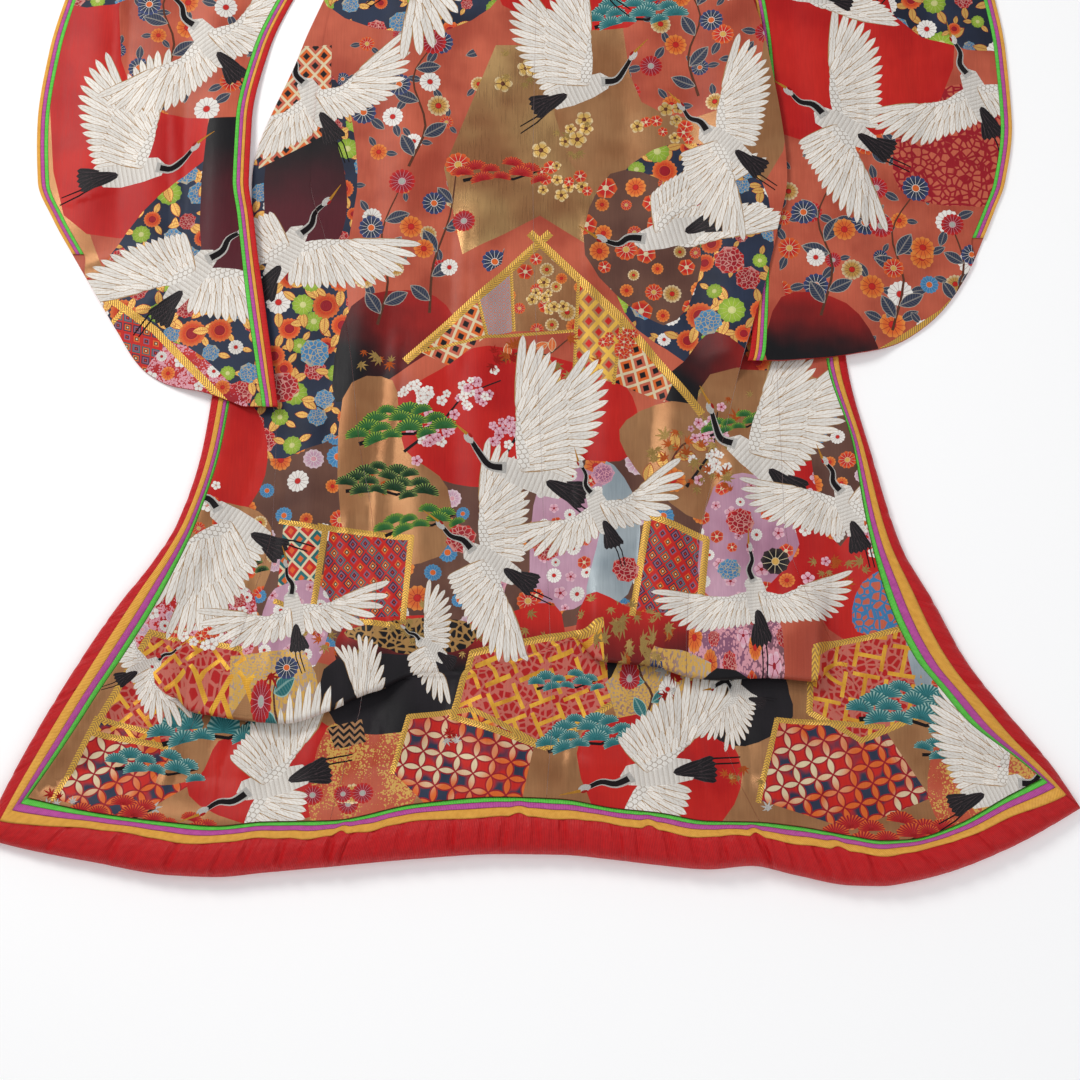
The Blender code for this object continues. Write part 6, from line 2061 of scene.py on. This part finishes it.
# Plum boughs: points of the branch, then blossoms (kind, x, y, radius)
PLUMS = (
    (((-205, 655), (-160, 690), (-120, 742), (-60, 770)), (("plum_pink", -195, 690, 9),
     ("plum_white", -178, 672, 8), ("plum_pink", -168, 712, 10), ("plum_white", -150, 738, 9),
     ("plum_pink", -130, 716, 9), ("plum_white", -118, 762, 8), ("plum_pink", -92, 748, 10),
     ("plum_white", -70, 786, 8), ("plum_pink", -186, 640, 9), ("plum_white", -150, 672, 9),
     ("plum_pink", -110, 728, 8), ("plum_white", -208, 712, 8))),
    (((-60, 640), (-30, 690), (10, 730), (70, 760)), (("plum_white", -48, 668, 8),
     ("plum_pink", -28, 710, 9), ("plum_white", 12, 748, 9), ("plum_pink", 40, 730, 9),
     ("plum_white", 66, 772, 8), ("plum_pink", 4, 700, 8))),
    (((220, 600), (262, 660), (270, 720)), (("plum_pink", 240, 612, 9), ("plum_white", 262, 640, 8),
     ("plum_pink", 282, 676, 9), ("plum_white", 256, 700, 9), ("plum_pink", 276, 728, 8),
     ("plum_white", 230, 644, 8))),
    (((-560, 600), (-520, 650), (-500, 720)), (("plum_pink", -545, 640, 9), ("plum_white", -520, 680, 8),
     ("plum_pink", -495, 700, 9), ("plum_white", -530, 720, 9), ("plum_pink", -505, 742, 8))),
)
# Single blooms and leaves: kind, x, y, radius
BLOOMS = (
    ("peony_red", -118, 520, 24), ("peony_red", 10, 505, 20), ("peony_mauve", -70, 450, 22),
    ("peony_red", 128, 470, 22), ("peony_mauve", 95, 620, 18), ("mum_orange", 200, 610, 20),
    ("peony_red", 300, 545, 22), ("mum_black", 352, 485, 22), ("peony_blue", 282, 470, 18),
    ("plum_gold", 6, 930, 11), ("plum_gold", -12, 902, 10), ("plum_gold", 22, 890, 10),
    ("maple_white", -560, 110, 15), ("maple_white", -330, 262, 16), ("maple_red", 205, 330, 18),
    ("maple_red", 222, 290, 15), ("maple_white", 330, 110, 13), ("maple_red", -395, 305, 16),
    ("maple_orange", -20, 760, 16), ("maple_orange", 12, 784, 14), ("maple_orange", 90, 800, 15),
    ("maple_gold", 190, 680, 18), ("maple_gold", 232, 640, 18), ("maple_gold", 262, 668, 15),
    ("maple_white", 640, 90, 13), ("mum_crimson", -330, 130, 16), ("peony_blue", -345, 815, 24),
    ("peony_red", -392, 760, 26), ("peony_red", 292, 960, 24), ("peony_blue", 258, 862, 22),
)
# Clusters: kinds, middle, spread, how many, radius
CLUSTERS = (
    (("plum_white",), -188, 745, 26, 16, 7), (("plum_pink",), -165, 690, 34, 22, 7),
    (("plum_white", "plum_pink"), -110, 748, 34, 20, 7), (("plum_pink",), -60, 690, 30, 16, 7),
    (("plum_pink", "plum_white"), 60, 740, 34, 14, 7), (("plum_pink",), 252, 690, 30, 18, 7),
    (("plum_white",), 268, 640, 26, 14, 7), (("plum_pink", "plum_white"), -520, 690, 40, 20, 7),
    (MAPLES, 205, 655, 44, 16, 13), (MAPLES, 262, 610, 36, 12, 12),
    (("maple_gold",), -175, 385, 46, 20, 11), (("maple_gold",), -60, 372, 40, 16, 10),
    (("maple_gold",), 140, 372, 60, 24, 11), (("maple_gold", "maple_orange"), -330, 372, 40, 14, 11),
    (("maple_red", "maple_orange"), -40, 800, 46, 14, 15),
    (("maple_orange", "maple_gold"), 20, 770, 40, 14, 14),
    (("maple_gold", "maple_orange"), -250, 610, 36, 8, 12),
    (("plum_red", "plum_white"), -500, 380, 46, 16, 9),
    (("peony_red", "mum_pink", "plum_white"), -470, 430, 50, 10, 15),
    (("maple_red", "maple_white"), -690, 120, 30, 8, 12),
    (("maple_white", "maple_red"), 210, 300, 40, 9, 13), (("plum_red",), 120, 830, 34, 14, 8),
    (("maple_white", "mum_red"), 700, 95, 34, 8, 11), (("plum_gold",), 10, 900, 30, 9, 9),
    (("maple_gold", "maple_orange"), 370, 700, 44, 14, 12),
    (("maple_red", "maple_white"), -120, 215, 20, 5, 10),
    (("plum_gold", "maple_gold"), 40, 1180, 60, 12, 13),
    (("plum_gold", "maple_gold"), -30, 1290, 60, 10, 13),
    (("plum_gold", "plum_red"), 200, 1190, 60, 12, 11), (("mum_crimson", "mum_gold"), -260, 120, 36, 5, 14),
    (("maple_gold", "maple_orange"), 440, 470, 44, 14, 13),
    (("plum_pink", "plum_white"), 500, 520, 40, 16, 8),
    (("maple_red", "maple_orange"), -700, 70, 40, 8, 12),
    (("maple_orange", "maple_gold"), 300, 165, 30, 7, 11),
    (("plum_white", "plum_red"), -520, 590, 44, 16, 8),
    (("maple_gold", "maple_orange"), -250, 800, 30, 7, 12),
    (("plum_red", "plum_gold"), 40, 1090, 50, 12, 10), (("plum_pink", "plum_white"), 100, 1520, 60, 26, 9),
    (("maple_gold", "maple_orange"), -30, 1720, 70, 18, 14),
    (("maple_red", "maple_orange"), -270, 1760, 50, 12, 14),
)
# Cranes: x, y, body length, heading, pose, mirrored, with fewer feathers
BODY_CRANES = (
    (-395, 975, 112, 62, "climb", True, False), (-352, 1230, 104, 118, "glide", False, False),
    (-448, 540, 112, 148, "rise", False, False), (-365, 400, 84, 100, "glide", True, True),
    (-70, 480, 104, 150, "climb", True, False), (-10, 615, 122, 158, "rise", True, False),
    (92, 560, 84, 112, "glide", False, True), (205, 1010, 122, 196, "stoop", False, False),
    (60, 1250, 112, 24, "rise", False, False), (330, 640, 118, 140, "rise", True, False),
    (322, 420, 88, 96, "glide", False, False), (465, 560, 92, 105, "climb", False, False),
    (-385, 150, 116, 196, "climb", False, False), (175, 165, 118, 186, "climb", False, False),
    (660, 135, 100, 20, "rise", False, False), (-585, 320, 62, 30, "glide", False, True),
    (-160, 350, 56, 150, "climb", True, True), (-240, 290, 46, 200, "rise", True, True),
    (300, 280, 48, 160, "rise", False, True), (290, 1150, 104, 140, "climb", True, False),
    (-190, 1480, 116, 40, "climb", False, True), (60, 1460, 112, 150, "rise", True, True),
    (260, 1640, 116, 128, "climb", True, True), (-200, 1700, 108, 196, "stoop", False, True),
)
# Grounds, bars, cranes and sprays of the sleeves, in the same form as the body's
LEFT_SLEEVE_GROUNDS = (
    ("gold", True, 0, 1, ((-800, 700), (-640, 700), (-660, 900), (-720, 1100), (-700, 1400), (-820, 1400)),
     None),
    ("scarlet", True, 0, 1, ((-740, 1040), (-560, 1030), (-520, 1200), (-600, 1400), (-760, 1400)), None),
    ("navy", True, 0, 1, ((-700, 860), (-560, 800), (-430, 690), (-390, 900), (-420, 1150), (-560, 1100),
     (-660, 980)), (NAVY_BLOOMS, (10, 22), 0.044)),
    ("wine_to_black", True, 0, 0.26, ((-520, 960), (-440, 940), (-400, 1060), (-420, 1240), (-510, 1240)),
     None),
    ("gold", True, 0, 1, ((-780, 900), (-690, 870), (-600, 800), (-520, 700), (-780, 640)), None),
    ("coral", True, 0, 1, ((-640, 1240), (-400, 1230), (-400, 1520), (-640, 1540)), (SATIN_MUMS, (12, 21),
     0.072)),
    ("navy", True, 0, 1, ((-800, 1440), (-640, 1420), (-600, 1640), (-700, 1800), (-830, 1800)),
     (NAVY_BLOOMS, (10, 22), 0.044)),
    ("lattice", False, 38, 1, ((-640, 880), (-560, 830), (-600, 760), (-690, 820)), None),
    ("red_flaked", True, 0, 1, ((-560, 830), (-470, 760), (-440, 700), (-560, 700), (-610, 760)), (SMALL,
     (7, 12), 0.032)),
    ("waves", False, 0, 1, ((-560, 1540), (-430, 1520), (-430, 1660), (-560, 1680)), None),
    ("scarlet", True, 0, 1, ((-640, 1660), (-420, 1680), (-420, 1830), (-640, 1830)), (SMALL, (8, 14),
     0.04)),
)
LEFT_SLEEVE_BARS = (
    (12, ((-700, 930), (-590, 850), (-478, 730))), (7, ((-640, 885), (-700, 805))),
    (10, ((-640, 1545), (-420, 1500))),
)
LEFT_SLEEVE_CRANES = (
    (-540, 930, 118, 52, "climb", True, False), (-640, 1110, 116, 12, "rise", False, False),
    (-520, 1330, 112, 128, "glide", False, False), (-700, 1560, 104, 30, "climb", False, False),
)
RIGHT_SLEEVE_GROUNDS = (
    ("gold", True, 0, 1, ((560, 700), (820, 760), (820, 1130), (740, 1100), (690, 960), (600, 860)), None),
    ("coral", True, 0, 1, ((380, 880), (520, 800), (640, 860), (690, 1000), (640, 1180), (400, 1180)),
     (SATIN_MUMS, (12, 22), 0.066)),
    ("black_to_red", True, -10, 0.24, ((350, 780), (470, 740), (520, 800), (470, 890), (370, 900)), None),
    ("red_pebbles", True, 0, 1, ((560, 1080), (720, 1060), (800, 1160), (700, 1260), (580, 1220)), None),
    ("scarlet", True, 0, 1, ((360, 1180), (600, 1200), (640, 1380), (360, 1420)), None),
    ("navy", True, 0, 1, ((560, 1380), (800, 1340), (830, 1640), (600, 1700)), (NAVY_BLOOMS, (10, 22),
     0.044)),
    ("check", False, 32, 1, ((560, 830), (650, 880), (700, 800), (620, 740)), None),
    ("waves", False, 0, 1, ((650, 880), (700, 925), (740, 840), (700, 800)), None),
    ("lame", True, 0, 1, ((360, 1500), (560, 1480), (600, 1700), (360, 1790)), None),
)
RIGHT_SLEEVE_BARS = (
    (12, ((500, 800), (620, 880), (740, 1010))), (7, ((650, 885), (704, 795))),
    (7, ((560, 832), (622, 736))), (10, ((360, 1480), (600, 1480))),
)
RIGHT_SLEEVE_CRANES = (
    (480, 1180, 116, 150, "climb", True, False), (690, 1240, 104, 110, "glide", False, False),
    (600, 1480, 110, 40, "rise", False, False), (430, 1420, 100, 170, "stoop", False, False),
)
SLEEVE_SPRAYS = {
    "left": (
        (((-600, 1250), (-580, 1330), (-600, 1400), (-570, 1470)),
         (("mum_crimson", -570, 1472, 22), ("mum_navy", -622, 1400, 20), ("mum_orange", -560, 1360, 18)),
         PAIRED_LEAVES, "leaf_navy"),
        (((-720, 760), (-700, 820), (-715, 870), (-690, 920)), (("mum_crimson", -688, 925, 16),),
         ((0.1, 52, 30), (0.3, -48, 32), (0.55, 50, 30), (0.75, -52, 28)), "leaf_orange"),
    ),
    "right": (
        (((430, 870), (450, 950), (430, 1030), (460, 1100)),
         (("mum_crimson", 460, 1104, 22), ("mum_navy", 408, 1040, 20), ("mum_orange", 470, 1010, 18),
          ("mum_white", 425, 965, 15), ("mum_gold", 480, 945, 17)),
         FULL_LEAVES, "leaf_navy"),
        (((540, 850), (560, 930), (545, 1010), (585, 1080)),
         (("mum_navy", 585, 1084, 22), ("mum_crimson", 528, 1020, 20), ("mum_orange", 592, 985, 19),
          ("mum_red", 545, 950, 17), ("mum_blue", 600, 925, 15)),
         FULL_LEAVES, "leaf_navy"),
        (((640, 900), (655, 960), (640, 1020)), (("mum_crimson", 640, 1024, 18), ("mum_navy", 668, 975, 17)),
         ((0.1, 48, 36), (0.3, -50, 38), (0.6, 52, 36)), "leaf_navy"),
    ),
}
SLEEVE_LAYOUTS = {
    "left": (LEFT_SLEEVE_GROUNDS, LEFT_SLEEVE_BARS, LEFT_SLEEVE_CRANES),
    "right": (RIGHT_SLEEVE_GROUNDS, RIGHT_SLEEVE_BARS, RIGHT_SLEEVE_CRANES),
}
BODY_SEED = 11
SLEEVE_SEED = 71


def lay_grounds(design, rows, seed):
    numbers = []
    for k, (finish, soft, angle, scale, corners, strewn) in enumerate(rows):
        number = design.region(finish, corners, soft, angle, scale)
        numbers.append(number)
        if strewn:
            kinds, sizes, pitch = strewn
            leaf = STREWN_LEAVES.get(kinds)
            design.scatter(number, kinds, sizes, pitch, seed + k, leaf)
    return numbers


def body_design():
    design = Design("coral")
    grounds = lay_grounds(design, BODY_GROUNDS, BODY_SEED)
    beds = [number for number, row in zip(grounds, BODY_GROUNDS) if row[0] == "fret_bed"]
    for number, (angle, size) in zip(beds, FRETS):
        design.fret(number, angle, size)
    for width, points in BODY_BARS:
        design.bar(points, width)
    for row in SPRAYS:
        design.spray(*row)
    for branch, blossoms in PLUMS:
        design.bar(branch, np.linspace(5, 2, len(branch)), "black_line")
        for kind, x, y, radius in blossoms:
            design.flower(kind, x / 1000, y / 1000, radius / 1000)
    for number, (kinds, x, y, spread, count, radius) in enumerate(CLUSTERS):
        design.cluster(kinds, x, y, spread, count, radius, number)
    for kind, x, y, radius in BLOOMS:
        design.flower(kind, x / 1000, y / 1000, radius / 1000, angle=(7 * x + 3 * y) % 360)
    for row in BODY_PINES:
        design.pine(*row)
    for row in BODY_CRANES:
        design.crane(*row)
    return design.figures


def sleeve_design(side):
    design = Design("coral")
    grounds, bars, cranes = SLEEVE_LAYOUTS[side]
    lay_grounds(design, grounds, SLEEVE_SEED)
    for width, points in bars:
        design.bar(points, width)
    for row in SLEEVE_SPRAYS[side]:
        design.spray(*row)
    for row in cranes:
        design.crane(*row)
    return design.figures


def prepare(figures, finishes, planes):
    """Gives each figure its material, and its outline anticlockwise in short steps of the cloth's plane."""
    to_plane, _ = planes
    for figure in figures:
        figure["material"] = finishes[figure["finish"]]
        flat = to_plane(figure["outline"])
        turned = np.roll(flat, -1, axis=0)
        if (flat[:, 0] * turned[:, 1] - turned[:, 0] * flat[:, 1]).sum() < 0:
            figure["outline"] = figure["outline"][::-1]
        figure["fine"] = densify(figure["outline"], to_plane, PITCH)
    return figures


# Camera: above the hem, looking down on the back at the photograph's angle
LENS = 80.0
SENSOR = 36.0
CAMERA_TARGET = Vector((0.0107, -0.3969, 0.0))
CAMERA_DISTANCE = 3.6
CAMERA_ELEVATION = math.radians(75)
FLOOR_DROP = 0.0006


def aim(thing, target):
    thing.rotation_euler = (Vector(target) - thing.location).to_track_quat("-Z", "Y").to_euler()


def make_camera():
    data = bpy.data.cameras.new("camera")
    data.lens = LENS
    data.sensor_width = SENSOR
    data.sensor_height = SENSOR
    data.clip_end = 50
    camera = add_object("camera", data)
    back = Vector((0, -math.cos(CAMERA_ELEVATION), math.sin(CAMERA_ELEVATION)))
    camera.location = CAMERA_TARGET + back * CAMERA_DISTANCE
    aim(camera, CAMERA_TARGET)
    bpy.context.scene.camera = camera


# name, place, aim, size, power, colour
LAMP_ROWS = (
    ("key", (-1.9, 1.5, 2.5), (0.0, -0.2, 0.0), 1.2, 72.0, (1.0, 0.985, 0.96)),
    ("fill", (2.2, -0.6, 2.8), (0.0, -0.3, 0.0), 2.2, 20.0, (0.97, 0.985, 1.0)),
    ("front", (0.0, -3.0, 2.2), (0.0, -0.5, 0.0), 2.4, 18.0, (1.0, 1.0, 1.0)),
)


def make_lights():
    for name, place, target, size, power, colour in LAMP_ROWS:
        data = bpy.data.lights.new(name, "AREA")
        data.size = size
        data.energy = power
        data.color = colour
        lamp = add_object(name, data)
        lamp.location = place
        aim(lamp, target)
    world = bpy.data.worlds.new("studio")
    world.use_nodes = True
    world.node_tree.nodes["Background"].inputs["Color"].default_value = (0.96, 0.97, 1.0, 1.0)
    world.node_tree.nodes["Background"].inputs["Strength"].default_value = 0.42
    bpy.context.scene.world = world
    bpy.context.scene.view_settings.view_transform = "Standard"


def make_floor():
    bpy.ops.mesh.primitive_plane_add(size=12, location=(0, 0, -FLOOR_DROP))
    floor = bpy.context.object
    floor.name = "floor"
    bpy.ops.object.transform_apply(location=True, rotation=True, scale=True)
    material, shader, _ = new_material("pale_floor")
    shader.inputs["Base Color"].default_value = (0.93, 0.93, 0.93, 1)
    shader.inputs["Roughness"].default_value = 0.9
    shader.inputs["Emission Color"].default_value = (1, 1, 1, 1)
    shader.inputs["Emission Strength"].default_value = 0.12
    floor.data.materials.append(material)


for node in bpy.context.selected_objects:
    node.select_set(False)
make_camera()
make_lights()
make_floor()
finishes, strips = make_finishes(), make_strip_finishes()
body = prepare(body_design(), finishes, (to_cloth, from_cloth))
sleeves = {side: prepare(sleeve_design(side), finishes, (as_it_is, as_it_is)) for side in ("left", "right")}
cloth = make_body(body, strips["lining"]) + make_sleeves(sleeves, strips["lining"])
for piece in cloth:
    del piece["flat_area"], piece["flat_length"]
collar = make_collar(finishes["coral"])
pieces = cloth + [collar] + make_edges(strips) + make_sleeve_trims(strips)
for piece in pieces:
    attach(piece, "root")
bpy.context.view_layer.update()
